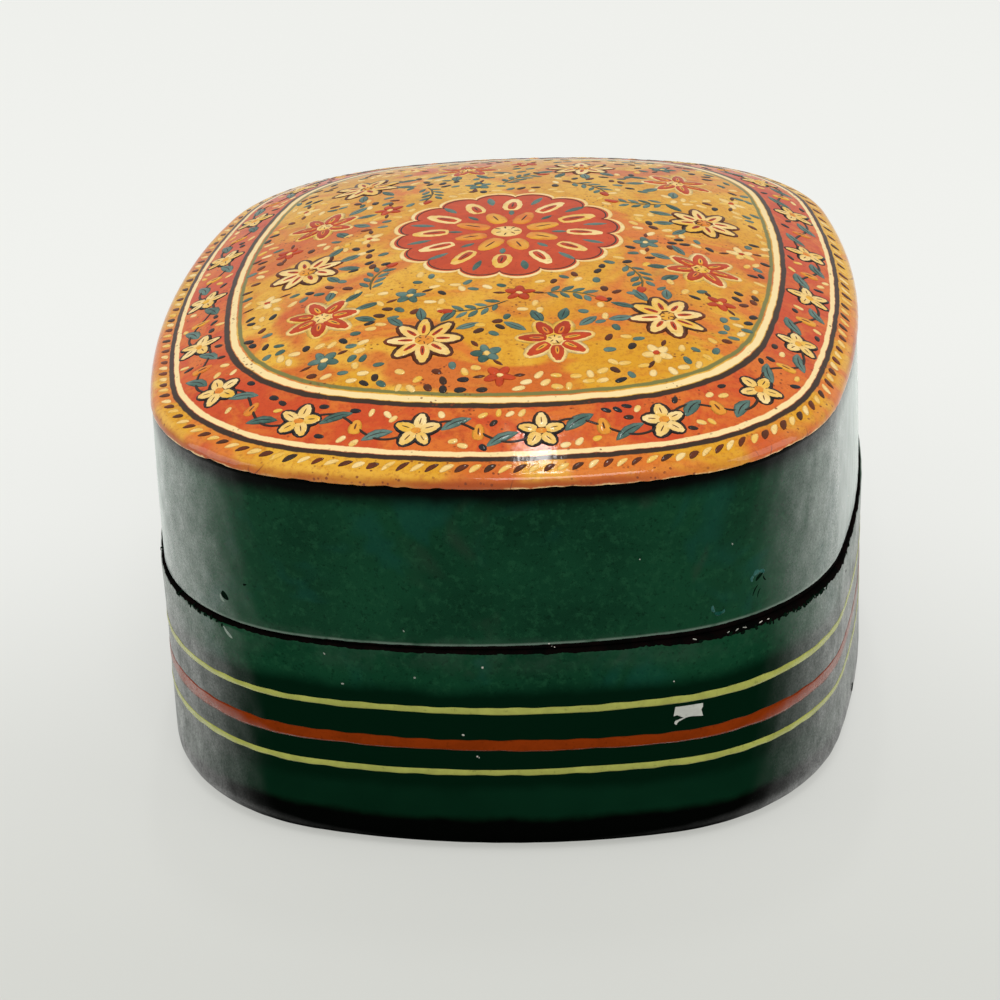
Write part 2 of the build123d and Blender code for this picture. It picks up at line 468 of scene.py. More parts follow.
def green_lacquer(name, black, deep, haze, sheen, dulled, ior, slant):
    """Dark green lacquer brushed over pulp: mottled, deeper over one stretch of height, with painted black
    shade at one edge.

    black, deep and haze are the two heights between which the painted black shade, the deeper green and a
    pale haze set in. dulled is the share of the gloss that the painted shade loses. The gloss begins at slant
    and is full 0.36 further. The piece's own numbers say where chips and the seam's painted shade turn it to
    the black ground, where a pale highlight is painted along its edge and where its foot keeps its gloss.
    """
    colours = bpy.context.scene.trinket_paint
    coats = Coats(name)
    height = coats.along("Z")
    green = coats.layers(
        colours.green,
        (colours.green_deep, 1.0, 0.35, 0.68, 70, 3, 0.6),
        (colours.green_light, 0.6, 0.5, 0.66, 1100, 5, 0.72),
        (colours.green_low, 0.5, 0.55, 0.68, 2300, 3, 0.7),
        (colours.green_blue, 0.45, 0.56, 0.68, 95, 3, 0.6, 0.5),
        (colours.smoky, 0.3, 0.58, 0.7, 75, 3, 0.6, 0.8),
    )
    edge = coats.uneven(height, 1.6, 160, 3, 0.6)
    clearer = coats.times(coats.step(edge, 8.4, 6.8), coats.scaled(coats.noise(64, 3, 0.6), 1.1, -0.2))
    deeper = coats.mix(clearer, colours.green_low, colours.green_deep)
    green = coats.mix(coats.step(edge, *deep), green, deeper)
    hazy = coats.times(coats.step(edge, *haze), coats.step(coats.noise(210, 4, 0.7), 0.36, 0.66))
    green = coats.mix(coats.times(hazy, 0.08), green, colours.rubbed)
    # Painted shade: black at the base's foot, where it turns under, and under the lid's overhanging skin.
    painted_shade = coats.step(edge, *black)
    green = coats.mix(painted_shade, green, colours.black)
    # Painted highlight along the lid's lower edge, where the piece's own number is above 0.
    rubbed = coats.times(coats.number("rubbed"), coats.step(coats.noise(420, 2, 0.6), 0.25, 0.55))
    green = coats.mix(rubbed, green, colours.rubbed)
    # Black ground below the seam: chips, and painted shade in the seam.
    chipped = coats.step(coats.uneven(coats.number("chipped"), 1.1, 1300, 3, 0.7), 0.42, 0.56)
    ground = coats.layers(colours.black, (colours.worn_pulp, 0.22, 0.56, 0.68, 420, 3, 0.6))
    normal = coats.bumps(
        (0.045, 150, 2, 0.5), (0.014, 520, 3, 0.55), (0.02, 1100, 5, 0.75, 0.0, coats.stretched(1.0, 0.5))
    )
    foot_shine = coats.number("foot_shine")
    dull = coats.times(painted_shade, coats.scaled(foot_shine, -dulled, dulled))
    left = coats.times(coats.scaled(chipped, -0.9, 1.0), coats.scaled(dull, -1.0, 1.0))
    rounded = coats.times(coats.step(height, 0.1, 0.9), foot_shine)
    above_foot = coats.maths("MAXIMUM", coats.step(height, 0.7, 2.6), rounded)
    gloss = coats.times(coats.glare(slant, slant + 0.36), coats.times(left, above_foot))
    colour, shine = coats.mix(chipped, green, ground), coats.scaled(coats.noise(260, 3, 0.6), 0.16, 0.16)
    sheens = {"Sheen_Weight": sheen, "Sheen_Roughness": 0.3, "Sheen_Tint": (0.9, 1.0, 0.95)}
    over = {"Specular_Tint": (0.0, 0.0, 0.0), "Coat_Weight": gloss, "Coat_Roughness": 0.24, "Coat_IOR": 2.2}
    return coats.finish(colour, shine, normal, IOR=ior, **sheens, **over)


def pale_floor():
    """Matt pale floor with painted shade towards the front. For the camera it also glows, a painted fill
    light that makes its shadows paler, as if lit from below.
    """
    colours = bpy.context.scene.trinket_paint
    coats = Coats("pale_floor")
    # Painted shade: the floor darkens towards the front.
    seen = coats.mix(coats.step(coats.along("Y"), -80, 35), colours.floor_front_shade, colours.floor)
    # Painted light: the floor glows for the camera, which pales its shadows.
    glow = coats.node("ShaderNodeEmission", {"Color": seen})
    matt = coats.node("ShaderNodeBsdfDiffuse", {"Color": colours.floor})
    filled = coats.times(coats.node("ShaderNodeLightPath").outputs["Is Camera Ray"], 0.65)
    both = coats.node("ShaderNodeMixShader", {0: filled, 1: matt.outputs[0], 2: glow.outputs[0]})
    coats.node("ShaderNodeOutputMaterial", {"Surface": both.outputs[0]})
    return coats.material


def black_lacquer(name, worn_from, worn_to):
    """Black lacquer on card, worn down to brown pulp along its upper edge."""
    colours = bpy.context.scene.trinket_paint
    coats = Coats(name)
    worn = coats.step(coats.uneven(coats.along("Z"), 1.6, 500, 3, 0.65), worn_from, worn_to)
    ground = coats.mix(coats.noise(90, 3, 0.6), colours.black, colours.black_brown)
    colour = coats.mix(coats.times(worn, 0.85), ground, colours.worn_pulp)
    normal = coats.bumps((0.04, 350, 3, 0.6), (0.01, 1500, 2, 0.6, 0.0, coats.stretched(0.06, 1.0)))
    return coats.finish(colour, coats.scaled(worn, 0.35, 0.24), normal, IOR=1.4)


def brush_paint(name, colour, second, size=450.0, kind="glossy"):
    """Thick gouache from a small brush: two shades that run into each other, with fine bristle ridges.

    Each dab's own number "tone" leans it to one shade, as the brush was loaded afresh. It lies under gloss on
    the lid, under the walls' lacquer, or is matt.
    """
    coats = Coats(name)
    blotch = coats.step(coats.noise(size, 3, 0.65, 0.6), 0.34, 0.66)
    load = coats.plus(coats.times(blotch, 0.45), coats.times(coats.number("tone"), 0.6))
    darker = [channel * 0.45 for channel in second]
    shade = coats.layers(coats.mix(load, colour, second), (darker, 0.4, 0.6, 0.72, size * 5, 2, 0.6))
    normal = coats.bumps((0.012, size * 4, 3, 0.6))
    if kind == "matt":
        return coats.finish(shade, 0.8, normal, IOR=1.05)
    if kind == "lacquered":
        glare = coats.times(coats.glare(0.3, 0.62), 0.85)
        return coats.finish(shade, 0.5, normal, IOR=1.0, Coat_Weight=glare, Coat_Roughness=0.26, Coat_IOR=2.3)
    return coats.finish(shade, 0.45, normal, IOR=1.1, Coat_Weight=0.35, Coat_Roughness=0.08, Coat_IOR=1.4)


def palette(use, names):
    """Brush paints for one use, by name: each is a colour of the box with a shade that it runs into."""
    colours = bpy.context.scene.trinket_paint
    shades = {
        "cream": (colours.cream, colours.pale_ochre),
        "ochre": (colours.pale_ochre, colours.orange),
        "red": (colours.red, colours.red_deep),
        "teal": (colours.teal, colours.teal_deep),
        "olive": (colours.olive, colours.dark_line),
        "brown": (colours.red_brown, colours.dark_line),
        "dark": (colours.dark_line, colours.blue_black),
    }
    return [brush_paint(use + "_" + name + "_paint", *shades[name]) for name in names.split()]


def painted_ground(name):
    """The lid's painted ground under gloss: ochre field, orange-red border between fine lines, ochre rim.

    Zones follow the piece's own number "share", 0 in the middle, 1 on the shoulder and more on the edge.
    """
    colours = bpy.context.scene.trinket_paint
    sizes = bpy.context.scene.trinket_box
    coats = Coats(name)
    grain = 0.36, 0.47, 0.66, 1900, 4, 0.75
    ochre = coats.layers(
        colours.ochre,
        (colours.pale_ochre, 1.0, 0.38, 0.66, 80, 4, 0.62, 0.8),
        (colours.orange, 0.9, 0.47, 0.6, 52, 4, 0.65, 1.0),
        (colours.red, 0.75, 0.55, 0.64, 38, 3, 0.65, 1.2),
        (colours.olive, 0.3, 0.58, 0.74, 260, 4, 0.7),
        (colours.orange_brown, *grain),
    )
    red = coats.layers(
        colours.red,
        (colours.orange, 1.0, 0.4, 0.62, 150, 4, 0.7, 0.7),
        (colours.red_deep, 0.6, 0.56, 0.72, 330, 4, 0.7),
        (colours.red_deep, *grain),
    )

    share = coats.uneven(coats.number("share"), 0.01, 420, 3, 0.6)
    inner, outer = sizes.border_inner, sizes.border_outer
    colour = coats.mix(coats.step(share, inner - 0.003, inner + 0.003), ochre, red)
    colour = coats.mix(coats.step(share, outer - 0.003, outer + 0.003), colour, ochre)
    for middle, half, paint in (
        (inner, 0.007, colours.dark_line),
        (inner - 0.018, 0.008, colours.cream),
        (inner - 0.036, 0.005, colours.olive),
        (outer, 0.006, colours.dark_line),
        (outer - 0.014, 0.006, colours.cream),
    ):
        from_line = coats.maths("ABSOLUTE", coats.maths("SUBTRACT", share, middle))
        colour = coats.mix(coats.step(from_line, half + 0.002, half - 0.001), colour, paint)

    rim = coats.uneven(coats.number("share"), 0.03, 650, 4, 0.7)
    # The skin's outer edge turns darker orange-brown in patches.
    darker_rim = coats.scaled(coats.step(coats.noise(42, 3, 0.6), 0.42, 0.58), 0.6, 0.3)
    colour = coats.mix(coats.times(darker_rim, coats.step(rim, 1.002, 1.045)), colour, colours.orange_brown)
    whole = coats.scaled(coats.step(coats.noise(50, 3, 0.6), 0.48, 0.56), 0.7, 0.05)
    colour = coats.mix(coats.times(coats.step(rim, 1.052, 1.062), whole), colour, colours.cream)
    thin = coats.step(coats.noise(150, 4, 0.7), 0.48, 0.62)
    specks = coats.times(coats.step(coats.uneven(coats.spots(1500), 0.3, 3200, 2), 0.25, 0.15), thin)
    colour = coats.mix(coats.times(specks, 0.85), colour, colours.red_brown)
    crack = coats.step(coats.spots(190, "DISTANCE_TO_EDGE"), 0.014, 0.005)
    near_edge = coats.step(coats.uneven(share, 0.16, 60, 2), 1.0, 1.05)
    crack = coats.times(crack, coats.times(near_edge, coats.step(coats.noise(110, 2), 0.5, 0.58)))
    colour = coats.mix(coats.times(crack, 0.8), colour, colours.red_brown)

    normal = coats.bumps((0.05, 150, 3, 0.5), (0.012, 900, 4, 0.6))
    shine = coats.scaled(coats.noise(300, 3, 0.6), 0.2, 0.35)
    gloss = coats.scaled(coats.step(coats.number("share"), 0.99, 1.0), 0.5, 0.45)
    return coats.finish(colour, shine, normal, IOR=1.1, Coat_Weight=gloss, Coat_Roughness=0.06, Coat_IOR=1.4)


# Shells


def chip_and_shade_depth(way):
    """How far the rim is black below the seam: an even depth of painted shade in the seam, and more by
    Gaussians at the front corners, where chips lay the black ground bare.

    It is less along the sides, by a cosine round the box.
    """
    right_way, left_way = wall_place(RIM_CHIPS, SEAM - 2, SEAM)[0]
    right = np.exp(-(((way - right_way) / 0.065) ** 2))
    left = np.exp(-(((way - left_way) / 0.03) ** 2))
    less = 0.06 - 0.06 * np.cos(4 * np.pi * way)
    return bpy.context.scene.trinket_box.rim_chip_and_shade_depth / MM - less + 0.4 * right + 0.14 * left


def polish(way):
    """How far hands have polished the lacquer: 1 round the corners, falling to 0 amid the walls."""
    return np.clip(2 - np.abs(way % 0.25 - 0.125) / 0.05, 0, 1)


def bare_and_shaded_edge(way):
    """How far the lid's lower edge is black above the seam, as painted shade in the seam: a mean and two
    waves round the box.
    """
    return 0.38 + 0.25 * np.sin(4 * np.pi * (way - 0.48))


def shell_mesh(name, profile, **numbers):
    """Mesh of a shell: its profile carried once round the plan, and closed in the middle at both ends.

    The numbers are for its lacquer to read: by row and way round, by way alone, or one for all. Both middles
    have the least of them.
    """
    loops = shell_loops(*profile, ROUND_STEPS)
    mesh = tube_mesh(name, loops, (0, 0, profile[2][0]), (0, 0, profile[2][-1]))
    for kind, values in numbers.items():
        values = np.broadcast_to(values, loops.shape[:2])
        number_points(mesh, kind, np.append(values, [values.min(), values.min()]))
    return mesh


def base_shell_mesh():
    """Base shell: its profile runs from the middle of the underside, round the foot, up the wall, over the
    rim, down the inside, which is let a little into the collar, round its corner and across the floor."""
    sizes = bpy.context.scene.trinket_box
    foot, wall, floor, rim = (
        value / MM for value in (sizes.foot_radius, sizes.base_wall, sizes.floor, sizes.rim_radius)
    )
    rise = np.concatenate([np.linspace(foot, SEAM - 3, 38), np.linspace(SEAM - 3, SEAM - rim, 16)[1:]])
    inside, corner = wall - 0.12, 2
    cove = arc_profile(inside + corner, floor + corner, -corner, 0, 90, 9)
    profile = join_profile(
        (np.linspace(TIP_SHARE, 1, 14)[:-1], foot, 0.0),
        (1, *arc_profile(foot, foot, foot, -90, 0, 16)),
        (1, 0, rise[1:-1]),
        (1, *arc_profile(rim, SEAM - rim, rim, 0, 90, 9)),
        (1, np.linspace(rim, inside, 8)[1:-1], SEAM),
        (1, inside, np.linspace(SEAM - 0.05, floor + corner, 14)),
        (1, *[value[1:] for value in cove]),
        (np.linspace(1, TIP_SHARE, 18)[1:], inside + corner, floor),
    )
    way = ways(ROUND_STEPS)
    # Black ground below the seam: chips, and painted shade in the seam.
    chipped = np.clip(0.3 + (profile[2][:, None] - SEAM + chip_and_shade_depth(way)) / 0.8, -1, 2)
    foot_shine = np.clip((0.17 - np.abs(way % 0.5 - 0.25)) / 0.03, 0, 1)
    return shell_mesh(
        "base_shell_form", profile, chipped=chipped, rubbed=0, foot_shine=foot_shine, polish=polish(way)
    )


def lid_shell_mesh():
    """Lid shell: from the middle of the ceiling out and down the skirt's inside, round its rim, up the
    outside, in over the ledge that carries the skin, and up over the dome of pulp under the skin."""
    sizes = bpy.context.scene.trinket_box
    inside, rim = sizes.base_wall / MM - COLLAR_PLAY, sizes.lid_rim_radius / MM
    edge_inset, edge_height = dome_sizes()
    ceiling, top = np.linspace(TIP_SHARE, 1, 30), np.linspace(1, TIP_SHARE, 24)
    under = edge_height - DOME_THICKNESS + (LID_TOP - edge_height) * (1 - ceiling**2.3)
    low, turn = SEAM + RIM_GAP, SEAM + 1.2
    rise = np.append(np.linspace(low + rim, turn, 14)[1:-1], np.linspace(turn, SKIRT_TOP - 0.06, 45))
    within = join_profile(
        (ceiling, inside, under),
        (1, inside, np.linspace(under[-1], SEAM + 0.25, 16)[1:]),
        (1, *arc_profile(inside + 0.25, SEAM + 0.25, -0.25, 0, -90, 5)),
    )
    outside = join_profile(
        (1, np.linspace(inside - 0.3, LID_INSET + rim, 6), low),
        (1, *arc_profile(LID_INSET + rim, low + rim, rim, -90, 0, 7)),
        (1, wall_inset(rise), rise),
        (1, SKIN_INSET + SKIN_OVERHANG + 0.06, SKIRT_TOP),
        (1, SKIN_INSET + SKIN_THICKNESS, SKIRT_TOP),
        (1, SKIN_INSET + SKIN_THICKNESS + 0.05, edge_height - SKIN_THICKNESS),
        (top, edge_inset + 0.3, dome_height(top) - SKIN_THICKNESS),
    )
    profile = [np.concatenate(pair) for pair in zip(within, outside)]
    way = ways(ROUND_STEPS)
    # Painted highlight: a pale band along the lid's lower edge, just above its black edge, where the rounded
    # edge catches the light.
    above_black_edge = profile[2][:, None] - SEAM - bare_and_shaded_edge(way)
    rubbed = np.clip(1 - np.abs(above_black_edge - 0.12) / 0.2, 0, 1)
    rubbed[: len(within[0])] = 0
    return shell_mesh("lid_shell_form", profile, rubbed=rubbed, chipped=-1, foot_shine=0, polish=polish(way))


def edge_nicks(way):
    """How far the skin's cut edge is nibbled up: the positive part of a few sines, and five small breaks."""
    turn = 2 * np.pi * way
    nibble = sum(
        size * np.sin(count * turn + start)
        for count, size, start in ((23, 0.06, 1.0), (57, 0.055, 2.0), (101, 0.05, 0.5), (173, 0.045, 0.0))
    )
    breaks = sum(0.16 * np.exp(-(((way - at) / 0.0035) ** 2)) for at in (0.468, 0.533, 0.571, 0.62, 0.402))
    return np.clip(nibble, 0, 0.14) + breaks


def painted_skin_mesh():
    """Painted skin: from the middle of its underside out to the ledge, up its thin edge, over the rounded
    shoulder and across the dome, whose height is shoulder + rise * (1 - share ** power)."""
    sizes = bpy.context.scene.trinket_box
    radius, turn = sizes.shoulder_radius / MM, np.degrees(sizes.shoulder_turn)
    edge_inset, edge_height = dome_sizes()
    under = np.linspace(TIP_SHARE, 1, 16)
    top = np.append(np.linspace(1, 0.96, 9)[:-1], np.linspace(0.96, 0.02, 60))[1:]
    share, inset, height = join_profile(
        (under, edge_inset + 0.3, dome_height(under) - 0.48),
        (1, SKIN_INSET + 0.52, np.array([edge_height - 0.48, SKIRT_TOP + 0.01])),
        (1, SKIN_INSET + 0.10, SKIRT_TOP + 0.01),
        (1, SKIN_INSET + 0.02, SKIRT_TOP + 0.04),
        (1, *arc_profile(SKIN_INSET + radius, SKIRT_TOP + SKIN_EDGE, radius, 0, turn, 14)),
        (top, edge_inset, dome_height(top)),
    )
    steps = 900
    loops = shell_loops(share, inset, height, steps, wave=0.5 * np.clip((share - 0.99) / 0.01, 0, 1))
    outer_rows = np.arange(len(height)) >= len(under) + 2
    fade = np.clip(1 - np.abs(height - SKIRT_TOP) / 0.5, 0, 1) * outer_rows
    loops[..., 2] += fade[:, None] * edge_nicks(ways(steps))
    outward = (edge_inset - inset) + np.clip(edge_height - height, 0, 2)
    zone = np.where(share < 0.9999, share, 1 + 0.035 * outward)
    mesh = tube_mesh("painted_skin_form", loops, (0, 0, height[0]), (0, 0, height[-1]))
    number_points(mesh, "share", np.append(np.repeat(zone, steps), [0, 0]))
    return mesh


def collar_mesh():
    """Collar: a strip's section, ramped inwards near its top, carried round the plan from end to end."""
    thick = bpy.context.scene.trinket_box.collar_thickness / MM
    low, high = COLLAR_LOW[2], COLLAR_HIGH[2]
    back, front = np.zeros(12), np.full(12, thick)
    inset = np.concatenate([back, [0.35, 0.6, 0.78, 1.0, thick - 0.14, thick], front, [thick - 0.1, 0.1]])
    up, down = np.linspace(low + 0.1, high - 0.7, 12), np.linspace(high - 0.6, low + 0.1, 12)
    height = np.concatenate([up, high - np.array([0.35, 0.12, 0, 0, 0.04, 0.2]), down, [low, low]])
    end = 0.15 / plan_length()
    way = np.linspace(end, 1 - end, 640)[:, None]
    loops = wall_points(way, height, 0.5 * hand_wave(way, height) - COLLAR_INSET - inset)
    return tube_mesh("collar_form", loops, loops[0].mean(axis=0), loops[-1].mean(axis=0))


def line_loops(height, width, proud, seed):
    """A painted line round the base: a lens-shaped section whose height and width waver as the brush did.

    Each waver is a sum of whole-number sines round the box, so that the line closes on itself.
    """
    rng = np.random.default_rng(seed)
    way = ways(1080)[:, None]
    waves = np.array([2, 3, 5, 8, 13, 21, 34, 55, 89])
    drift_sizes = np.array([0.05, 0.05, 0.04, 0.025, 0.015, 0.01, 0.01, 0.01, 0.012])
    swell_sizes = np.array([0.05, 0.05, 0.04, 0.04, 0.03, 0.03, 0.03, 0.03, 0.04])
    phases = rng.uniform(0, 2 * np.pi, (2, len(waves)))
    drift, swell = (
        np.sum(np.sin(waves * 2 * np.pi * way + phase) * size, axis=1)[:, None]
        for phase, size in zip(phases, (drift_sizes, swell_sizes))
    )
    angle = 2 * np.pi * np.arange(8) / 8
    level = height + drift + 0.5 * width * (1 + swell) * np.cos(angle)
    return wall_points(way, level, hand_wave(way, level) + proud * np.sin(angle))


def ragged_edge(way, seed, size):
    """A torn edge round the box, in mm: random numbers at four scales, eased between, the finest smallest."""
    rng = np.random.default_rng(seed)
    total = np.zeros(len(way))
    for count, part in ((120, 0.3), (310, 0.35), (700, 0.4), (1500, 0.3)):
        knots = rng.normal(0, 0.5, count)
        total += part * np.interp(way * count, np.arange(count + 1), np.append(knots, knots[0]))
    return size * total


def bare_and_shaded_edge_mesh(name, way, torn, rim, end, wall, inner):
    """The coat of black on a rim, bare ground at chips and painted shade in the seam: along the wall from a
    torn edge, over the rounded rim and in.

    torn is the height of the torn edge, rim the height of the rim, end its rounding, wall the wall's inset
    and inner the inset where the coat stops. Rows go by shares of the way from the torn edge to the rim,
    0.012 mm proud of the face, and come back 0.1 mm behind it.
    """
    proud, behind = 0.012, 0.1
    level = torn + (rim - torn) * np.linspace(0, 1, 13)[:, None]
    turn = np.clip(1 - np.abs(rim - level) / end, 0, 1)
    inset = np.vstack([wall + end * (1 - np.sqrt(1 - turn**2)), np.full((1, len(way)), inner)])
    level = np.vstack([level, np.full((1, len(way)), rim)])
    wave = hand_wave(way, level)
    upwards = np.sign(rim - torn)
    front = wall_points(way, level + np.clip(proud * upwards, 0, None), wave - inset + proud)
    back = wall_points(way, level - behind * upwards, wave - inset - behind)[::-1]
    return tube_mesh(name, np.concatenate([front, back]).swapaxes(0, 1))


# Brush dabs


def dab_shapes(length, width, lean=1.0, point=1.0, bend=0.0, lift=0.05, rows=5, ring=6):
    """Many brush dabs lying flat, as (along, across, lift) of their loops and tips, in millimetres.

    At a share a of the way along, spaced by cosine, the half width is width/2 * (4 g (1 - g)) ** (point/2),
    where g = a ** lean. The middle line bends sideways by bend * 4 a (1 - a), and the section is a lens of
    height lift.
    """
    length, width, lean, point, bend, lift = (
        np.asarray(value, float)[..., None, None]
        for value in np.broadcast_arrays(length, width, lean, point, bend, lift)
    )
    along = ((1 - np.cos(np.pi * np.arange(1, rows + 1) / (rows + 1))) / 2)[None, :, None]
    angle = (2 * np.pi * np.arange(ring) / ring)[None, None, :]
    warped = along**lean
    belly = (4 * warped * (1 - warped)) ** (point / 2)
    x = length * (along - 0.5) + 0 * angle
    y = bend * 4 * along * (1 - along) + 0.5 * width * belly * np.cos(angle)
    z = lift * np.sqrt(belly) * np.sin(angle)
    tips = np.stack([-length[:, 0, 0] / 2, length[:, 0, 0] / 2], axis=1)
    return x, y, z, tips


def turned(turn, along, across):
    """Offsets in x and y of a place that lies along and across a direction: the plan turned by its angle."""
    return np.cos(turn) * along - np.sin(turn) * across, np.sin(turn) * along + np.cos(turn) * across


def on_wall(way, height, level, upright, proud):
    """Points of a side wall that lie level and upright from a place on it, in millimetres, and proud."""
    way, height = way + level / plan_length(), height + upright
    return wall_points(way, height, hand_wave(way, height) - wall_inset(height) + proud)


def dab_mesh(name, loops, ends):
    """Mesh of many dabs. Each gets one random number, its tone, for its paint to read."""
    mesh = tube_mesh(name + "_form", loops, ends[:, 0], ends[:, 1])
    count = len(loops)
    tones = np.random.default_rng(count).uniform(0, 1, count)
    number_points(mesh, "tone", np.repeat(tones, len(mesh.vertices) // count))
    return mesh


def dabs_on_dome(name, x, y, turn, length, width, **shape):
    """Dabs turned and set on the painted top by their middles in plan, as unevenly as a hand does."""
    places = np.broadcast_arrays(x, y, turn, length, width)
    x, y, turn, length, width = (np.atleast_1d(value) for value in places)
    rng = np.random.default_rng(len(x) + 7)
    x, y = x + rng.normal(0, 0.05, x.shape), y + rng.normal(0, 0.05, x.shape)
    turn = turn + rng.normal(0, 0.07, x.shape)
    length, width = length * rng.uniform(0.88, 1.1, x.shape), width * rng.uniform(0.86, 1.12, x.shape)
    along, across, lift, tips = dab_shapes(length, width, **shape)
    off_x, off_y = turned(turn[:, None, None], along, across)
    tip_x, tip_y = turned(turn[:, None], tips, 0.0)
    ends = on_dome(x[:, None] + tip_x, y[:, None] + tip_y, 0.0)
    return dab_mesh(name, on_dome(x[:, None, None] + off_x, y[:, None, None] + off_y, lift), ends)


def dabs_on_wall(name, way, height, turn, length, width, **shape):
    """Dabs set on a side wall by their way round and height. Their length lies level where turn is 0."""
    places = np.broadcast_arrays(way, height, turn, length, width)
    way, height, turn, length, width = (np.atleast_1d(value)[:, None, None] for value in places)
    along, across, lift, tips = dab_shapes(length[:, 0, 0], width[:, 0, 0], **shape)
    ends = on_wall(way[..., 0], height[..., 0], *turned(turn[..., 0], tips, 0.0), 0.0)
    return dab_mesh(name, on_wall(way, height, *turned(turn, along, across), lift), ends)


def patch_mesh(name, way, height, outline, proud):
    """A thin patch on a side wall: an outline of (level, upright) points, its front proud, its back sunk."""
    front, back = (on_wall(way, height, *np.array(outline).T, out) for out in (proud, -0.05))
    count = len(outline)
    step = np.arange(count)
    after = (step + 1) % count
    sides = np.stack([step, step + count, after + count, after], axis=-1).tolist()
    mesh = bpy.data.meshes.new(name)
    faces = [step.tolist(), (step[::-1] + count).tolist(), *sides]
    mesh.from_pydata((np.vstack([front, back]) * MM).tolist(), [], faces)
    return mesh


def round_places(share, count, shift=0.0):
    """Places in a ring that follows the plan at a share of its size, with the ring's direction there."""
    way = (np.arange(count) + shift) / count
    points = wall_points(way, 0.0, -dome_sizes()[0], share)
    *arc, normal_x, normal_y = walk(way)
    return points[:, 0], points[:, 1], np.arctan2(normal_x, -normal_y)


def ring_of(x, y, turn, count, radius, spread=2 * np.pi):
    """For each place, petals in a ring round it: their middles and the directions that they point in."""
    angle = (turn[:, None] + spread * np.arange(count) / count).ravel()
    off_x, off_y = turned(angle, radius, 0.0)
    return np.repeat(x, count) + off_x, np.repeat(y, count) + off_y, angle


def beside(x, y, turn, along, across):
    """For each place, points at offsets along and across its own direction."""
    off_x, off_y = turned(turn[:, None], np.atleast_1d(along), np.atleast_1d(across))
    return (x[:, None] + off_x).ravel(), (y[:, None] + off_y).ravel()


def scatter(rng, tries, radius, taken, low, high):
    """Places picked at random between two shares of the lid, each clear of what is taken by its own radius.

    taken holds (x, y, radius) rows. Returned are the places, and taken with them added.
    """
    x, y = rng.uniform(-HALF_WIDTH, HALF_WIDTH, tries), rng.uniform(-HALF_LENGTH, HALF_LENGTH, tries)
    share = edge_share(x, y, dome_sizes()[0])
    fits = (share > low) & (share < high)
    placed = []
    for place_x, place_y in zip(x[fits], y[fits]):
        if np.all(np.hypot(taken[:, 0] - place_x, taken[:, 1] - place_y) > taken[:, 2] + radius):
            placed.append((place_x, place_y))
            taken = np.vstack([taken, (place_x, place_y, radius)])
    return np.array(placed), taken


def field_layout():
    """Where all stands on the lid's field: large flowers in a ring, then sprigs, blossoms and seed dabs."""
    sizes = bpy.context.scene.trinket_box
    rng = np.random.default_rng(sizes.layout_seed)
    inner = sizes.border_inner - 0.05
    taken = np.array([[0.0, 0.0, sizes.medallion / MM + 0.6]])
    x, y, turn = round_places(0.575, sizes.ring_flowers, 0.5)
    taken = np.vstack([taken, np.stack([x, y, np.full(len(x), 4.9)], axis=-1)])
    layout = {"flowers": (x, y, turn)}
    for kind, tries, radius, high in (
        ("sprigs", 900, 2.9, 0.665),
        ("blossoms", 2600, 1.9, 0.7),
        ("seeds", 16000, 0.56, inner),
    ):
        places, taken = scatter(rng, tries, radius, taken, 0.2, high)
        layout[kind] = (places[:, 0], places[:, 1], rng.uniform(0, 2 * np.pi, len(places)))
    return layout


def add_dabs(name, paint, x, y, turn, length, width, **shape):
    """Adds dabs of one paint to the lid's top as a piece."""
    add_piece(name, dabs_on_dome(name, x, y, turn, length, width, **shape), paint, "lid")


def add_wall_dabs(name, paint, body, way, height, turn, length, width, **shape):
    """Adds dabs of one paint to a side wall as a piece."""
    add_piece(name, dabs_on_wall(name, way, height, turn, length, width, **shape), paint, body)


def brushed_ring(name, share, width, lift):
    """A brushed line that closes on itself on the lid's top: a lens carried along shares round the plan."""
    line = wall_points(ways(len(share)), 0.0, -dome_sizes()[0])[:, :2] * share[:, None]
    along = np.roll(line, -1, axis=0) - np.roll(line, 1, axis=0)
    out = np.stack([along[:, 1], -along[:, 0]], axis=-1) / np.hypot(along[:, 0], along[:, 1])[:, None]
    angle = 2 * np.pi * np.arange(6) / 6
    across = line[:, None, :] + 0.5 * width * np.cos(angle)[None, :, None] * out[:, None, :]
    loops = on_dome(across[..., 0], across[..., 1], lift * np.sin(angle)[None, :])
    return tube_mesh(name + "_form", loops)


def scalloped_reach(angle, lobes, radius):
    """Reach of a scalloped outline at an angle: radius * (0.9 + 0.1 * |sin(lobes * angle / 2)| ** 0.6)."""
    return radius * (0.9 + 0.1 * np.abs(np.sin(lobes * angle / 2)) ** 0.6)


def scalloped_patch(name, lobes, radius, lift):
    """Scalloped ground of one colour on the lid's top: rings at shares of the reach, the last sunk in."""
    angle = 2 * np.pi * np.arange(24 * lobes) / (24 * lobes)
    share = np.append(np.linspace(0.04, 1, 30), 1.006)[:, None]
    x, y = (share * scalloped_reach(angle, lobes, radius) * way(angle) for way in (np.cos, np.sin))
    lifts = np.append(np.full(30, lift), -0.06)[:, None]
    middle = on_dome(np.array([0.0, 0.0]), np.array([0.0, 0.0]), np.array([lift, -0.06]))
    return tube_mesh(name + "_form", on_dome(x, y, lifts), middle[0], middle[1])


def scalloped_ring(name, lobes, radius, width, lift):
    """A brushed line on the outline of a scalloped ground."""
    angle = 2 * np.pi * np.arange(24 * lobes) / (24 * lobes)
    section = 2 * np.pi * np.arange(6) / 6
    reach = scalloped_reach(angle, lobes, radius)[:, None] + 0.5 * width * np.cos(section)[None, :]
    x, y = reach * np.cos(angle)[:, None], reach * np.sin(angle)[:, None]
    return tube_mesh(name + "_form", on_dome(x, y, lift * np.sin(section)[None, :]))


# Camera


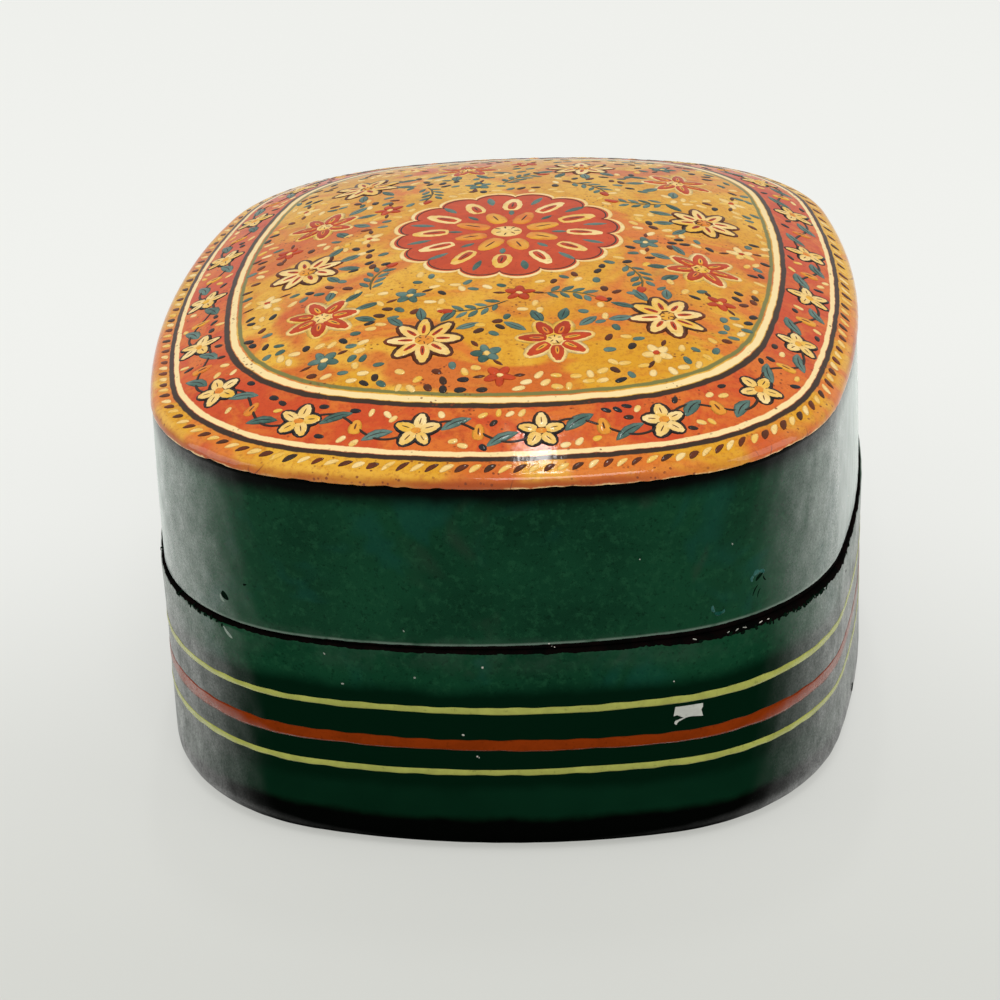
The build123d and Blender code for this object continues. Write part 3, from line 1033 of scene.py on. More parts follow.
def camera_axes():
    """The camera's place, and its right, up and back directions, from its turn, height angle and roll."""
    sizes = bpy.context.scene.trinket_view
    turn, tilt, roll = sizes.turn, sizes.tilt, sizes.roll
    back = np.array([np.sin(turn) * np.cos(tilt), -np.cos(turn) * np.cos(tilt), np.sin(tilt)])
    right = np.array([np.cos(turn), np.sin(turn), 0.0])
    up = np.cross(back, right)
    where = back * sizes.distance / MM + right * sizes.aim_right / MM + up * sizes.aim_up / MM
    rolled = np.cos(roll) * right - np.sin(roll) * up, np.sin(roll) * right + np.cos(roll) * up
    return where, rolled[0], rolled[1], back


def wall_place(pixels, low, high):
    """Way round and height of the wall points that show at pixels of the photograph's 1000 by 1000 frame.

    The wall is sampled on a grid, each point is projected as half the frame + focal * sideways / depth, and
    the nearest wins.
    """
    pixels = np.array(pixels, float)
    where, right, up, back = camera_axes()
    focal = FRAME * bpy.context.scene.trinket_view.lens / MM / SENSOR
    way, height = np.meshgrid(np.linspace(0.25, 0.75, 1601), np.linspace(low, high, 141))
    points = wall_points(way, height, -wall_inset(height)) - where
    depth = -(points @ back)
    off_x = FRAME / 2 + focal * (points @ right) / depth
    off_y = FRAME / 2 - focal * (points @ up) / depth
    gap = (off_x.ravel()[:, None] - pixels[:, 0]) ** 2 + (off_y.ravel()[:, None] - pixels[:, 1]) ** 2
    best = np.argmin(gap, axis=0)
    return way.ravel()[best], height.ravel()[best]


# Sizes and colours that a user would change


def length_of(name, description, millimetres):
    return FloatProperty(name=name, description=description, default=millimetres * MM, unit="LENGTH")


def angle_of(name, description, radians):
    return FloatProperty(name=name, description=description, default=float(radians), subtype="ANGLE")


def number_of(name, description, number):
    return FloatProperty(name=name, description=description, default=number)


def count_of(name, description, count):
    return IntProperty(name=name, description=description, default=count)


def colour_of(name, description, *screen):
    return FloatVectorProperty(name=name, description=description, default=srgb(*screen), subtype="COLOR")


class TrinketBoxSizes(bpy.types.PropertyGroup):
    """Sizes of the box that its frame doesn't give"""

    side_bow: length_of("Side bow", "How far a long side bows outwards", 8.7)
    end_bow: length_of("End bow", "How far a short side bows outwards", 10.4)
    corner_radius: length_of("Corner radius", "Radius of a corner in plan", 23.2)
    base_wall: length_of("Base wall", "Thickness of the moulded wall", 3)
    floor: length_of("Floor", "Thickness of the floor", 3)
    foot_radius: length_of("Foot radius", "Rounding between wall and underside", 2.7)
    rim_radius: length_of("Rim radius", "Rounding of the base's rim", 0.5)
    lid_rim_radius: length_of("Lid rim radius", "Rounding of the lid's lower edge", 0.25)
    # Depth of the black below the seam: painted shade in the seam, deeper where chips are.
    rim_chip_and_shade_depth: length_of("Rim chips", "How far below the seam the green has chipped off", 0.24)
    shoulder_radius: length_of("Shoulder radius", "Rounding between the skin's edge and its top", 1.2)
    shoulder_turn: angle_of("Shoulder turn", "How far the shoulder turns up to the dome", np.radians(60))
    dome_power: number_of("Dome fullness", "Higher is flatter in the middle and steeper at the edge", 2.5)
    collar_thickness: length_of("Collar thickness", "Thickness of the card strip", 1.4)
    upper_line: length_of("Upper line", "Height of the upper yellow line", 16.67)
    red_line: length_of("Red line", "Height of the red line", 12.65)
    lower_line: length_of("Lower line", "Height of the lower yellow line", 9.48)
    yellow_width: length_of("Yellow line width", "Width of the yellow lines", 0.74)
    red_width: length_of("Red line width", "Width of the red line", 1.3)
    medallion: length_of("Medallion", "Radius of the scalloped ground in the middle of the lid", 12.4)
    border_inner: number_of("Border's inner edge", "Share of the lid at which the red border begins", 0.80)
    border_outer: number_of("Border's outer edge", "Share of the lid at which the red border ends", 0.955)
    border_repeats: count_of("Border repeats", "Blossoms along the border", 20)
    ring_flowers: count_of("Field flowers", "Large flowers round the middle", 12)
    layout_seed: count_of("Layout seed", "Picks where the small flowers stand", 5)


class TrinketBoxPaint(bpy.types.PropertyGroup):
    """Colours of the box's lacquer and paints"""

    green: colour_of("Green", "Green lacquer", 16, 57, 36)
    green_deep: colour_of("Deep green", "Green lacquer where it lies thick", 11, 45, 28)
    green_light: colour_of("Light green", "Green lacquer where it lies thin", 26, 68, 44)
    green_blue: colour_of("Blue green", "Bluish patches of the lacquer", 16, 62, 52)
    green_low: colour_of("Low green", "Lacquer of the base's lower half", 3, 25, 13)
    smoky: colour_of("Smoky", "Brownish patches of the lacquer", 52, 54, 48)
    # Also the painted black shade at the base's foot, under the lid's skin and in the seam.
    black: colour_of("Black", "Black ground under the green", 3, 4, 3)
    # Pale wear on the rim bits and specks, and the painted highlight along the lid's lower edge.
    rubbed: colour_of("Rubbed edge", "Edge where the lacquer is rubbed pale", 98, 114, 102)
    black_red: colour_of("Reddish black", "Black ground where it is rubbed thin", 18, 6, 6)
    black_brown: colour_of("Brown black", "Black lacquer where it is thin", 22, 17, 13)
    worn_pulp: colour_of("Worn pulp", "Pulp where the lacquer has gone", 96, 50, 33)
    # Also the painted highlight by a dent.
    scuff_and_glint: colour_of("Scuffed", "Lacquer where something has scraped it", 158, 168, 158)
    # Painted highlights on the rims of a dent, and the colour of a light scratch.
    dent_highlight_and_scratch: colour_of("Dent light", "Pale rims of the dents", 56, 98, 92)
    pale_speck: colour_of("Pale speck", "Specks on the walls", 205, 196, 186)
    line_yellow: colour_of("Line yellow", "Yellow-green lines round the base", 158, 161, 81)
    line_red: colour_of("Line red", "Red-brown line round the base", 124, 46, 9)
    paper: colour_of("Paper", "Torn paper on the base", 182, 183, 174)
    ochre: colour_of("Ochre", "Main ground of the lid", 215, 152, 28)
    pale_ochre: colour_of("Pale ochre", "Lighter ground of the lid", 229, 177, 60)
    cream: colour_of("Cream", "Cream paint and the bare edge of the skin", 243, 217, 156)
    orange: colour_of("Orange", "Orange washes", 214, 112, 40)
    # Also the darker patches at the skin's outer edge.
    orange_brown: colour_of("Orange brown", "Grain of the ground and its burnt outer edge", 158, 66, 14)
    red: colour_of("Orange red", "Orange-red border and petals", 200, 74, 32)
    red_deep: colour_of("Deep red", "Darker orange-red", 168, 52, 22)
    red_brown: colour_of("Red brown", "Brown strokes and specks", 112, 50, 22)
    teal: colour_of("Teal grey", "Leaves", 104, 132, 122)
    teal_deep: colour_of("Deep teal", "Darker leaves", 52, 84, 74)
    olive: colour_of("Olive", "Olive shading and stems", 120, 118, 62)
    dark_line: colour_of("Dark line", "Outlines and dark strokes", 58, 42, 30)
    blue_black: colour_of("Blue black", "Darkest strokes", 28, 38, 44)
    floor: colour_of("Floor", "Floor under the box", 240, 241, 237)
    # Painted shade: the floor is darker towards the camera.
    floor_front_shade: colour_of("Floor in front", "Floor nearest the camera", 196, 197, 190)


class TrinketBoxView(bpy.types.PropertyGroup):
    """Where the camera stands"""

    distance: length_of("Distance", "From the box's underside to the camera", 316.3)
    tilt: angle_of("Height angle", "Angle above level", 0.46824)
    turn: angle_of("Turn", "Angle round the box from its front", 0.09946)
    roll: angle_of("Roll", "Roll about the view direction", 0.04437)
    aim_right: length_of("Aim right", "Shift of the camera to its right", -2.063)
    aim_up: length_of("Aim up", "Shift of the camera upwards", 15.214)
    lens: length_of("Lens", "Focal length on a 36 mm wide sensor", 99.1)


# Operators


class TRINKET_OT_base_shell(bpy.types.Operator):
    """Base shell of moulded pulp in green lacquer, darker below its upper line, with painted black shade at
    the foot
    """

    bl_idname = "trinket.base_shell"
    bl_label = "Base Shell"

    def execute(self, context):
        finish = green_lacquer(
            "green_lacquer_base",
            black=(4.7, 3.5),
            deep=(20.0, 18.0),
            haze=(SEAM - 3.2, SEAM - 0.8),
            sheen=0.0,
            dulled=0.7,
            ior=1.0,
            slant=0.3,
        )
        add_piece("base_shell_lacquered", base_shell_mesh(), finish, "base", ("base_shell",))
        return {"FINISHED"}


class TRINKET_OT_collar(bpy.types.Operator):
    """Collar strip of black lacquered card, its ends butted at the back"""

    bl_idname = "trinket.collar"
    bl_label = "Collar"

    def execute(self, context):
        finish = black_lacquer("black_lacquer_collar", COLLAR_HIGH[2] - 0.9, COLLAR_HIGH[2] + 0.2)
        add_piece("collar_strip", collar_mesh(), finish, "base", ("base_collar",))
        return {"FINISHED"}


class TRINKET_OT_base_lines(bpy.types.Operator):
    """Three painted lines round the base"""

    bl_idname = "trinket.base_lines"
    bl_label = "Painted Lines"

    def execute(self, context):
        sizes, colours = context.scene.trinket_box, context.scene.trinket_paint
        yellow, red = (
            brush_paint(name + "_paint", colour, [channel * 0.62 for channel in colour], 500, "lacquered")
            for name, colour in (("line_yellow", colours.line_yellow), ("line_red", colours.line_red))
        )
        for name, height, width, paint, seed in (
            ("line_yellow_upper", sizes.upper_line, sizes.yellow_width, yellow, 3),
            ("line_red_middle", sizes.red_line, sizes.red_width, red, 7),
            ("line_yellow_lower", sizes.lower_line, sizes.yellow_width, yellow, 11),
        ):
            loops = line_loops(height / MM, width / MM, 0.05, seed)
            mesh = tube_mesh(name + "_form", loops)
            number_points(mesh, "polish", np.repeat(polish(ways(len(loops))), loops.shape[1]))
            add_piece(name, mesh, paint, "base")
        return {"FINISHED"}


class TRINKET_OT_black_edges(bpy.types.Operator):
    """Black along the base's rim and the lid's lower edge: black ground laid bare by chips, and painted shade
    in the seam
    """

    bl_idname = "trinket.black_edges"
    bl_label = "Black Edges"

    def execute(self, context):
        sizes, colours = context.scene.trinket_box, context.scene.trinket_paint
        # Matt black: the black ground where chips lay it bare, and painted shade in the seam.
        black = brush_paint("bare_and_shaded_black_paint", colours.black, colours.black_red, 500, "matt")
        way = ways(2880)
        depth = chip_and_shade_depth(way)
        torn = ragged_edge(way, 3, 0.12 + 1.1 * np.clip(depth - 0.3, 0, 1))
        low = np.minimum(SEAM - depth + np.clip(torn, -0.5, 0.2), SEAM - 0.08)
        rim = bare_and_shaded_edge_mesh("rim_black_form", way, low, SEAM, sizes.rim_radius / MM, 0, 1.2)
        add_piece("rim_black", rim, black, "base")
        high = SEAM + bare_and_shaded_edge(way) + np.clip(ragged_edge(way, 4, 0.06), -0.1, 0.1)
        end = sizes.lid_rim_radius / MM
        inner = LID_INSET + end + 0.1
        edge = bare_and_shaded_edge_mesh("lid_edge_form", way, high, SEAM + RIM_GAP, end, LID_INSET, inner)
        add_piece("lid_edge_black", edge, black, "lid")
        return {"FINISHED"}


class TRINKET_OT_lid_shell(bpy.types.Operator):
    """Lid shell of moulded pulp in green lacquer, with painted black shade under the skin's edge and a
    painted highlight along its lower edge
    """

    bl_idname = "trinket.lid_shell"
    bl_label = "Lid Shell"

    def execute(self, context):
        finish = green_lacquer(
            "green_lacquer_lid",
            black=(SKIRT_TOP - 2.9, SKIRT_TOP - 0.6),
            deep=(-1, -2),
            haze=(SEAM + 1.6, SEAM + 0.6),
            sheen=0.6,
            dulled=0.5,
            ior=1.1,
            slant=0.26,
        )
        add_piece("lid_shell_lacquered", lid_shell_mesh(), finish, "lid", ("lid_shell",))
        return {"FINISHED"}


class TRINKET_OT_wear(bpy.types.Operator):
    """Chips, specks and a scrap of paper on the walls, and dents with painted shade and painted highlights"""

    bl_idname = "trinket.wear"
    bl_label = "Wear"

    def execute(self, context):
        colours = context.scene.trinket_paint
        pale, black, light, scuff_and_glint, dusty, paper = (
            brush_paint(name + "_paint", colour, second, size, kind)
            for name, colour, second, size, kind in (
                ("pale_speck", colours.pale_speck, colours.rubbed, 900, "matt"),
                # Black for chips, and the painted shade in the dents' hollows.
                ("chip_and_dent_shade_black", colours.black, colours.green_low, 900, "matt"),
                # Painted highlights round a dent, and a light scratch.
                ("dent_highlight_and_scratch", colours.dent_highlight_and_scratch, colours.green_blue, 900, "lacquered"),
                # Scuffs, and the painted highlight by a dent.
                ("scuff", colours.scuff_and_glint, colours.rubbed, 900, "matt"),
                ("rim_bit", colours.rubbed, colours.pale_speck, 1200, "matt"),
                ("paper_scrap", colours.paper, [channel * 0.7 for channel in colours.paper], 700, "matt"),
            )
        )
        rng = np.random.default_rng(31)

        def random_dabs(name, paint, body, way, height, turn, lengths, widths):
            """Dabs of random size at given places on a wall."""
            length, width, lean = (rng.uniform(*pair, len(way)) for pair in (lengths, widths, (0.7, 1.3)))
            add_wall_dabs(name, paint, body, way, height, turn, length, width, lean=lean, lift=0.025)

        for body, pixels, low, high, count, foot, spread, lengths, widths in (
            ("lid", LID_PALE_SPECKS, SEAM + 0.12, SKIRT_TOP, 12, SEAM, (0.5, 14), (0.14, 0.3), (0.1, 0.18)),
            ("base", BASE_PALE_SPECKS, 3.5, SEAM - 1, 16, 0, (4, SEAM - 1.5), (0.16, 0.36), (0.12, 0.24)),
        ):
            marked, height = wall_place(pixels, low, high)
            way = np.append(marked, rng.uniform(0, 1, count))
            height = np.append(height, foot + rng.uniform(*spread, count))
            turn = rng.uniform(0, 3, len(way))
            random_dabs(body + "_pale_specks", pale, body, way, height, turn, lengths, widths)

        marked, height = wall_place(RIM_PALE_BITS, SEAM - 1.3, SEAM - 0.15)
        turn = rng.normal(0, 0.35, len(marked))
        random_dabs("rim_pale_bits", dusty, "base", marked, height, turn, (0.22, 0.55), (0.09, 0.16))

        marked, height = wall_place(BASE_BLACK_BITS, SEAM - 3, SEAM - 0.6)
        right_way, left_way = wall_place(RIM_CHIPS, SEAM - 2, SEAM)[0]
        near = rng.normal(right_way, 0.016, 34), rng.normal(left_way, 0.012, 12), rng.uniform(0, 1, 24)
        way = np.concatenate([marked, *near])
        depth = chip_and_shade_depth(way[len(marked) :])
        height = np.append(height, SEAM - depth - rng.uniform(-0.1, 0.22, len(depth)))
        turn = rng.uniform(0, 3, len(way))
        random_dabs("base_rim_chips", black, "base", way, height, turn, (0.3, 0.75), (0.2, 0.42))

        # Dents: their dark hollows are painted shade, their pale rims and glint painted highlights.
        dents, dents_up = wall_place(LID_DENTS, SEAM + 0.2, SKIRT_TOP)
        (scar, scratch), (scar_up, scratch_up) = wall_place((LID_SCAR, LID_SCRATCH), SEAM + 0.2, SKIRT_TOP)
        # Painted highlights round the scar's dent, then a light scratch.
        round_scar, step = np.radians([60, 110, 165]), plan_length()
        level, upright = 0.8 * np.cos(round_scar), 0.65 * np.sin(round_scar)
        rims_way = np.append(scar + level / step, scratch + np.array([-0.5, 0, 0.5]) / step)
        rims_up = np.append(scar_up + upright, scratch_up + np.array([0.12, -0.4, -0.32]))
        rims = rims_way, rims_up, np.append(round_scar + np.pi / 2, [-1.3, -0.1, 0.6])
        level, upright = np.array([0.05, -0.45, 0.0, 0.75]), np.array([0.1, -1.2, -1.6, -0.2])
        in_scar = scar + level / step, scar_up + upright
        # Painted highlight by the first dent.
        glint = dents[:1] - 0.4 / step, dents_up[:1] - 0.35
        scuff, nick = wall_place([RIM_SCUFF], SEAM - 3, SEAM - 0.6), wall_place([RED_LINE_NICK], 3, SEAM)
        dents_size = [1.15, 0.5], [0.8, 0.22]
        rims_size = [0.8, 0.9, 0.7, 0.8, 0.9, 0.5], [0.45, 0.6, 0.4, 0.4, 0.5, 0.34]
        scar_size = [1.1, 1.3, 1.0, 0.7], [0.4, 0.16, 0.14, 0.16]
        for name, paint, body, place, size, lean, bend, lift in (
            ("lid_dent_shades", black, "lid", (dents, dents_up, [-0.5, 0.3]), dents_size, 0.6, 0, 0.02),
            ("lid_dent_glints", scuff_and_glint, "lid", (*glint, -0.9), (1.0, 0.42), 1, -0.15, 0.03),
            ("lid_dent_highlights_and_scratch", light, "lid", rims, rims_size, 1, -0.12, 0.025),
            ("lid_scar_shade", black, "lid", (*in_scar, [0.6, 1.0, 1.2, 2.1]), scar_size, 1, 0.1, 0.02),
            ("rim_scuff", scuff_and_glint, "base", (*scuff, -0.75), (1.6, 0.4), 1.3, -0.1, 0.03),
            ("red_line_nick", black, "base", (*nick, 0.4), (1.1, 0.8), 1, 0, 0.07),
        ):
            add_wall_dabs(name, paint, body, *place, *size, lean=lean, bend=bend, lift=lift)

        way, height = wall_place([PAPER_CORNER], 3, SEAM)
        scrap = patch_mesh("paper_scrap_form", way[0], height[0], PAPER_OUTLINE, 0.06)
        add_piece("paper_scrap", scrap, paper, "base")
        return {"FINISHED"}


class TRINKET_OT_painted_skin(bpy.types.Operator):
    """Painted skin over the dome, with its thin cream edge"""

    bl_idname = "trinket.painted_skin"
    bl_label = "Painted Skin"

    def execute(self, context):
        finish = painted_ground("painted_ground")
        add_piece("painted_skin", painted_skin_mesh(), finish, "lid", ("lid_painted_skin",))
        return {"FINISHED"}


class TRINKET_OT_medallion(bpy.types.Operator):
    """Rosette on a scalloped red ground in the middle of the lid"""

    bl_idname = "trinket.medallion"
    bl_label = "Medallion"

    def execute(self, context):
        cream, ochre, red, teal, brown, dark = palette("medallion", "cream ochre red teal brown dark")
        radius = context.scene.trinket_box.medallion / MM
        lobes = 16
        ground = scalloped_patch("medallion_ground", lobes, radius, 0.015)
        add_piece("medallion_ground", ground, red, "lid")
        for name, paint, reach, width, lift in (
            ("medallion_outline", cream, radius, 0.55, 0.05),
            ("medallion_dark_line", dark, radius - 0.55, 0.22, 0.045),
        ):
            add_piece(name, scalloped_ring(name, lobes, reach, width, lift), paint, "lid")
        middle = np.zeros((2, 1))
        for name, paint, count, reach, shift, length, width, lean, point, lift in (
            ("outer_petals", cream, 12, 8.3, 0, 4.3, 2.7, 0.75, 1, 0.04),
            ("outer_blush", red, 12, 7.9, 0, 2.7, 1.4, 0.8, 1, 0.065),
            ("outer_strokes", brown, 12, 8.0, 0, 1.9, 0.32, 1, 1.5, 0.085),
            ("leaves", teal, 12, 9.6, np.pi / 12, 2.9, 1.05, 1, 1.7, 0.045),
            ("inner_petals", ochre, 8, 4.1, np.pi / 8, 3.9, 2.7, 0.75, 1, 0.06),
            ("inner_strokes", brown, 8, 4.1, np.pi / 8, 2.2, 0.36, 1, 1.5, 0.085),
            ("inner_leaves", teal, 8, 5.6, 0, 1.8, 0.8, 1, 1.7, 0.07),
        ):
            ring = ring_of(*middle, middle[0] + shift, count, reach)
            add_dabs("rosette_" + name, paint, *ring, length, width, lean=lean, point=point, lift=lift)
        add_dabs("rosette_heart", cream, *middle, 0.0, 3.2, 3.0, lift=0.09, rows=7, ring=10)
        strokes = ring_of(*middle, middle[0], 7, 0.95)
        add_dabs("rosette_heart_strokes", brown, *strokes, 0.9, 0.28, point=1.4, lift=0.11)
        return {"FINISHED"}


class TRINKET_OT_flowers(bpy.types.Operator):
    """Large flowers in a ring on the ochre ground, red and cream by turns"""

    bl_idname = "trinket.flowers"
    bl_label = "Field Flowers"

    def execute(self, context):
        cream, ochre, red, teal, brown, dark = palette("flower", "cream ochre red teal brown dark")
        x, y, turn = field_layout()["flowers"]
        odd = np.arange(len(x)) % 2 == 1
        for kind, chosen, under, petal, blush, heart, count in (
            ("red", ~odd, cream, red, ochre, cream, 7),
            ("cream", odd, brown, cream, red, ochre, 8),
        ):
            at = x[chosen], y[chosen], turn[chosen] + 0.2
            name = kind + "_flower_"
            for part, paint, reach, length, width, lean, point, lift in (
                ("edges", under, 2.35, 3.6, 2.45, 0.7, 1, 0.035),
                ("petals", petal, 2.3, 3.1, 1.95, 0.7, 1, 0.06),
                ("blush", blush, 1.9, 1.7, 0.75, 0.8, 1, 0.08),
                ("strokes", dark, 1.9, 1.2, 0.2, 1, 1.5, 0.095),
            ):
                ring = ring_of(*at, count, reach)
                add_dabs(name + part, paint, *ring, length, width, lean=lean, point=point, lift=lift)
            add_dabs(name + "hearts", heart, *at, 1.8, 1.7, lift=0.1, rows=6, ring=8)
            add_dabs(name + "heart_strokes", brown, *ring_of(*at, 5, 0.5), 0.5, 0.2, lift=0.12)
        around = ring_of(x, y, turn + np.pi / 2 - 0.9, 4, 4.75, spread=4 * 0.6)
        add_dabs("flower_leaves", teal, *around, 2.6, 1.15, point=1.7, lift=0.045)
        add_dabs("flower_leaf_veins", dark, *around, 1.9, 0.17, point=1.4, lift=0.06)
        return {"FINISHED"}


class TRINKET_OT_sprigs(bpy.types.Operator):
    """Curved sprigs, small blossoms and seed strokes that fill the ochre ground"""

    bl_idname = "trinket.sprigs"
    bl_label = "Sprigs and Seeds"

    def execute(self, context):
        cream, red, teal, brown, dark, olive = palette("sprig", "cream red teal brown dark olive")
        layout = field_layout()
        x, y, turn = layout["sprigs"]
        add_dabs("sprig_stems", olive, x, y, turn, 6.4, 0.3, bend=0.8, lift=0.04, point=0.5)
        along, side = (grid.ravel() for grid in np.meshgrid([-2.1, -0.9, 0.3, 1.5], [-1.0, 1.0]))
        bow = 0.8 * (1 - (along / 3.2) ** 2)
        leaf = beside(x, y, turn, along + 0.45, bow + 0.72 * side)
        leaf_turn = (turn[:, None] + side * 0.75 - 0.5 * along / 3.2).ravel()
        add_dabs("sprig_leaves", teal, *leaf, leaf_turn, 1.6, 0.7, point=1.6, lift=0.05)
        add_dabs("sprig_buds", red, *beside(x, y, turn, 3.3, 0.0), turn - 0.5, 1.6, 1.1, lean=0.7, lift=0.06)

        x, y, turn = layout["blossoms"]
        kind = np.arange(len(x)) % 3
        for name, which, paint, heart in (
            ("cream_blossoms", 0, cream, red),
            ("red_blossoms", 1, red, cream),
            ("teal_blossoms", 2, teal, cream),
        ):
            at = x[kind == which], y[kind == which], turn[kind == which]
            add_dabs(name, paint, *ring_of(*at, 5, 0.92), 1.4, 1.05, lean=0.7, lift=0.05)
            add_dabs(name + "_hearts", heart, *at, 0.75, 0.7, lift=0.075)
        leaves = ring_of(x, y, turn + 0.35, 2, 2.0)
        add_dabs("blossom_leaves", brown, *leaves, 1.3, 0.5, point=1.6, lift=0.045)

        x, y, turn = layout["seeds"]
        pick = np.random.default_rng(17).uniform(0, 1, len(x))
        for name, low, high, paint in (
            ("cream_seeds", 0.0, 0.40, cream),
            ("dark_seeds", 0.40, 0.58, dark),
            ("teal_seeds", 0.58, 0.84, teal),
            ("brown_seeds", 0.84, 1.0, brown),
        ):
            some = (pick >= low) & (pick < high)
            add_dabs(name, paint, x[some], y[some], turn[some], 1.25, 0.78, lean=0.85, lift=0.04, rows=4)
        return {"FINISHED"}


class TRINKET_OT_border(bpy.types.Operator):
    """Blossoms, leaves and buds on a vine along the red border, and slanted strokes along the rim"""

    bl_idname = "trinket.border"
    bl_label = "Border Flowers"

    def execute(self, context):
        sizes = context.scene.trinket_box
        cream, ochre, teal, dark, brown = palette("border", "cream ochre teal dark brown")
        middle = (sizes.border_inner + sizes.border_outer) / 2
        count = sizes.border_repeats
        vine = middle + 0.03 * np.sin(2 * np.pi * count * ways(1440))
        add_piece("border_vine", brushed_ring("border_vine", vine, 0.3, 0.04), dark, "lid")

        x, y, turn = round_places(middle, count, 0.5)
        bud_x, bud_y, bud_turn = round_places(middle, count, 0.0)
        leaf_x, leaf_y = beside(bud_x, bud_y, bud_turn, [-2.3, 2.3], [0.9, -0.9])
        petals, strokes = (ring_of(x, y, turn + 0.3, 5, reach) for reach in (1.25, 1.2))
        leaves = leaf_x, leaf_y, np.repeat(bud_turn + 0.5, 2)
        buds = bud_x, bud_y, bud_turn + np.pi / 2
        for name, paint, places, length, width, lean, point, bend, lift in (
            ("blossom_edges", dark, petals, 2.3, 1.9, 0.75, 1, 0, 0.045),
            ("blossoms", cream, petals, 2.0, 1.6, 0.75, 1, 0, 0.065),
            ("blossom_hearts", ochre, (x, y, turn), 1.15, 1.05, 1, 1, 0, 0.09),
            ("blossom_strokes", brown, strokes, 0.9, 0.18, 1, 1, 0, 0.085),
            ("leaves", teal, leaves, 3.3, 1.35, 1, 1.7, 0.25, 0.055),
            ("leaf_veins", dark, leaves, 2.5, 0.2, 1, 1.4, 0.25, 0.075),
            ("buds", ochre, buds, 2.1, 1.35, 0.7, 1, 0, 0.07),
            ("bud_tips", brown, buds, 1.0, 0.3, 1, 1, 0, 0.09),
        ):
            shape = {"lean": lean, "point": point, "bend": bend, "lift": lift}
            add_dabs("border_" + name, paint, *places, length, width, **shape)

        taken = [
            np.stack([at_x, at_y, np.full(len(at_x), radius)], -1)
            for at_x, at_y, radius in ((x, y, 2.25), (bud_x, bud_y, 1.1), (leaf_x, leaf_y, 1.35))
        ]
        rng = np.random.default_rng(sizes.layout_seed + 1)
        low, high = sizes.border_inner + 0.02, sizes.border_outer - 0.032
        seeds = scatter(rng, 12000, 0.52, np.vstack(taken), low, high)[0]
        turn = rng.uniform(0, 2 * np.pi, len(seeds))
        for name, first, paint in (("border_cream_seeds", 0, cream), ("border_dark_seeds", 1, dark)):
            some = slice(first, None, 2)
            add_dabs(name, paint, *seeds[some].T, turn[some], 1.1, 0.65, lean=0.85, lift=0.04, rows=4)

        for name, shift, paint in (("rim_cream_strokes", 0.0, cream), ("rim_brown_strokes", 0.5, brown)):
            x, y, turn = round_places(0.98, 96, shift)
            add_dabs(name, paint, x, y, turn + 0.6, 1.5, 0.62, point=1.3, bend=0.1, lift=0.04)
        return {"FINISHED"}


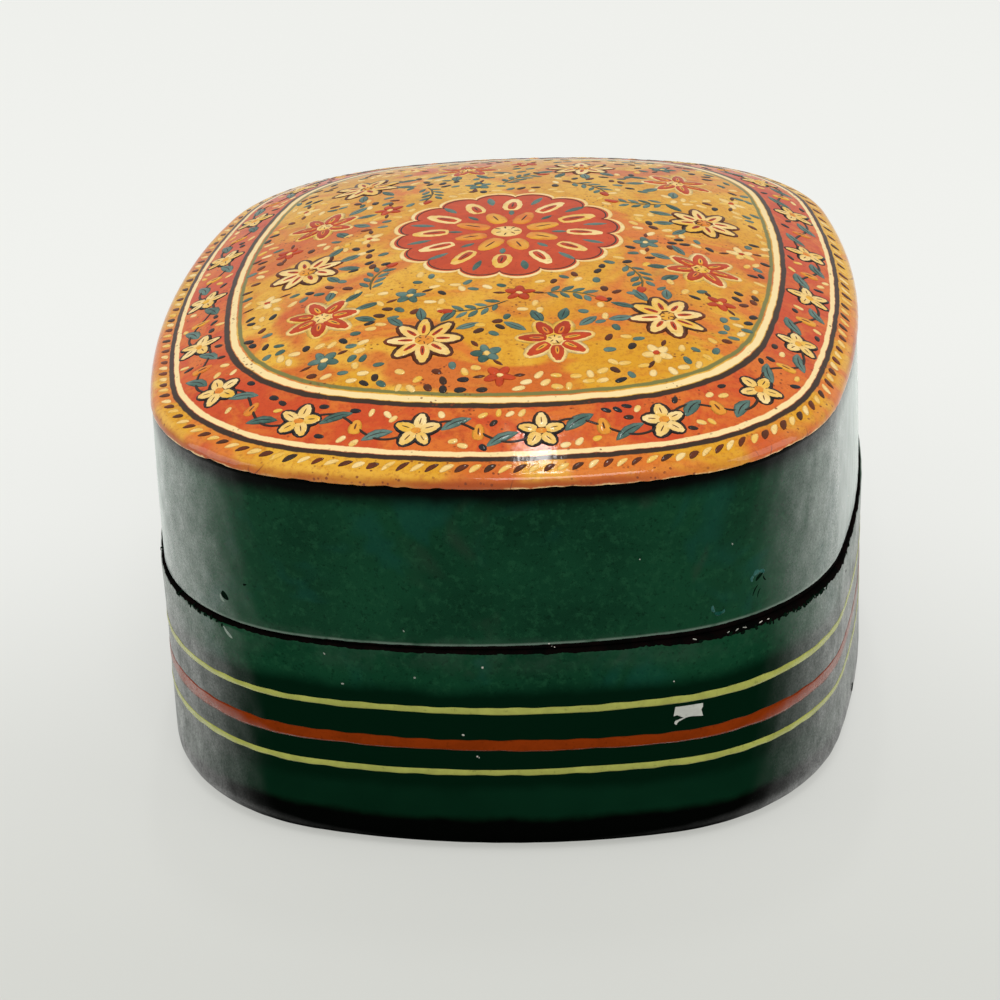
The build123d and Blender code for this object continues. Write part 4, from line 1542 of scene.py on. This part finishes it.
class TRINKET_OT_stage(bpy.types.Operator):
    """Pale floor, soft lights, world and camera"""

    bl_idname = "trinket.stage"
    bl_label = "Stage"

    def execute(self, context):
        scene = context.scene

        def put(name, data):
            """Puts a lamp, the camera or the floor into the scene."""
            forget(bpy.data.objects, name)
            made = bpy.data.objects.new(name, data)
            scene.collection.objects.link(made)
            return made

        turn = 2 * np.pi * np.arange(96) / 96
        reach = np.array([300.0, 1000.0, 2000.0, 3000.0, 3000.0])[:, None]
        depth = np.array([0.0, 0.0, 0.0, 0.0, -2.0])[:, None]
        loops = np.stack(np.broadcast_arrays(reach * np.cos(turn), reach * np.sin(turn), depth), axis=-1)
        mesh = tube_mesh("floor_form", loops, (0, 0, 0), (0, 0, -2.0))
        mesh.materials.append(pale_floor())
        floor = put("floor", mesh)

        world = bpy.data.worlds.get("pale_room") or bpy.data.worlds.new("pale_room")
        scene.world = world
        world.use_nodes = True
        world.node_tree.nodes["Background"].inputs["Color"].default_value = (1, 1, 1, 1)
        world.node_tree.nodes["Background"].inputs["Strength"].default_value = 0.68

        aim = Vector((0, 0, 0.03))
        for name, where, wide, high, power in (
            ("left_softbox", (-0.75, -0.15, 0.30), 0.5, 0.5, 1.5),
            ("right_softbox", (0.75, -0.15, 0.30), 0.5, 0.5, 1.5),
            ("window_strip", (0.069, -0.331, 0.725), 0.26, 0.24, 1.3),
            ("window_glint", (-0.018, 0.265, 0.78), 0.03, 0.12, 0.45),
        ):
            light = bpy.data.lights.new(name, "AREA")
            light.shape, light.size, light.size_y, light.energy = "RECTANGLE", wide, high, power
            lamp = put(name, light)
            lamp.location = where
            lamp.rotation_euler = (aim - Vector(where)).to_track_quat("-Z", "Y").to_euler()

        where, right, up, back = camera_axes()
        camera = bpy.data.cameras.new("photo_camera")
        camera.sensor_width = SENSOR
        camera.lens = scene.trinket_view.lens / MM
        camera.clip_start = 0.01
        eye = put("photo_camera", camera)
        rows = [[right[i], up[i], back[i], where[i] * MM] for i in range(3)]
        eye.matrix_world = Matrix(rows + [[0, 0, 0, 1]])
        scene.camera = eye
        scene.view_settings.view_transform = "Standard"
        return {"FINISHED"}


OPERATORS = (
    TRINKET_OT_base_shell,
    TRINKET_OT_collar,
    TRINKET_OT_base_lines,
    TRINKET_OT_black_edges,
    TRINKET_OT_lid_shell,
    TRINKET_OT_wear,
    TRINKET_OT_painted_skin,
    TRINKET_OT_medallion,
    TRINKET_OT_flowers,
    TRINKET_OT_sprigs,
    TRINKET_OT_border,
    TRINKET_OT_stage,
)


class TRINKET_PT_panel(bpy.types.Panel):
    """Lists the steps that make the box"""

    bl_idname = "TRINKET_PT_panel"
    bl_label = "Trinket Box"
    bl_space_type = "VIEW_3D"
    bl_region_type = "UI"
    bl_category = "Trinket Box"

    def draw(self, context):
        for operator in OPERATORS:
            self.layout.operator(operator.bl_idname)


GROUPS = {"trinket_box": TrinketBoxSizes, "trinket_paint": TrinketBoxPaint, "trinket_view": TrinketBoxView}
CLASSES = (*GROUPS.values(), *OPERATORS, TRINKET_PT_panel)


def register():
    for made in CLASSES:
        bpy.utils.register_class(made)
    for name, group in GROUPS.items():
        setattr(bpy.types.Scene, name, PointerProperty(type=group))


def unregister():
    for name in GROUPS:
        delattr(bpy.types.Scene, name)
    for made in reversed(CLASSES):
        bpy.utils.unregister_class(made)


def main():
    register()
    for operator in OPERATORS:
        group, name = operator.bl_idname.split(".")
        getattr(getattr(bpy.ops, group), name)()


if __name__ == "__main__":
    main()
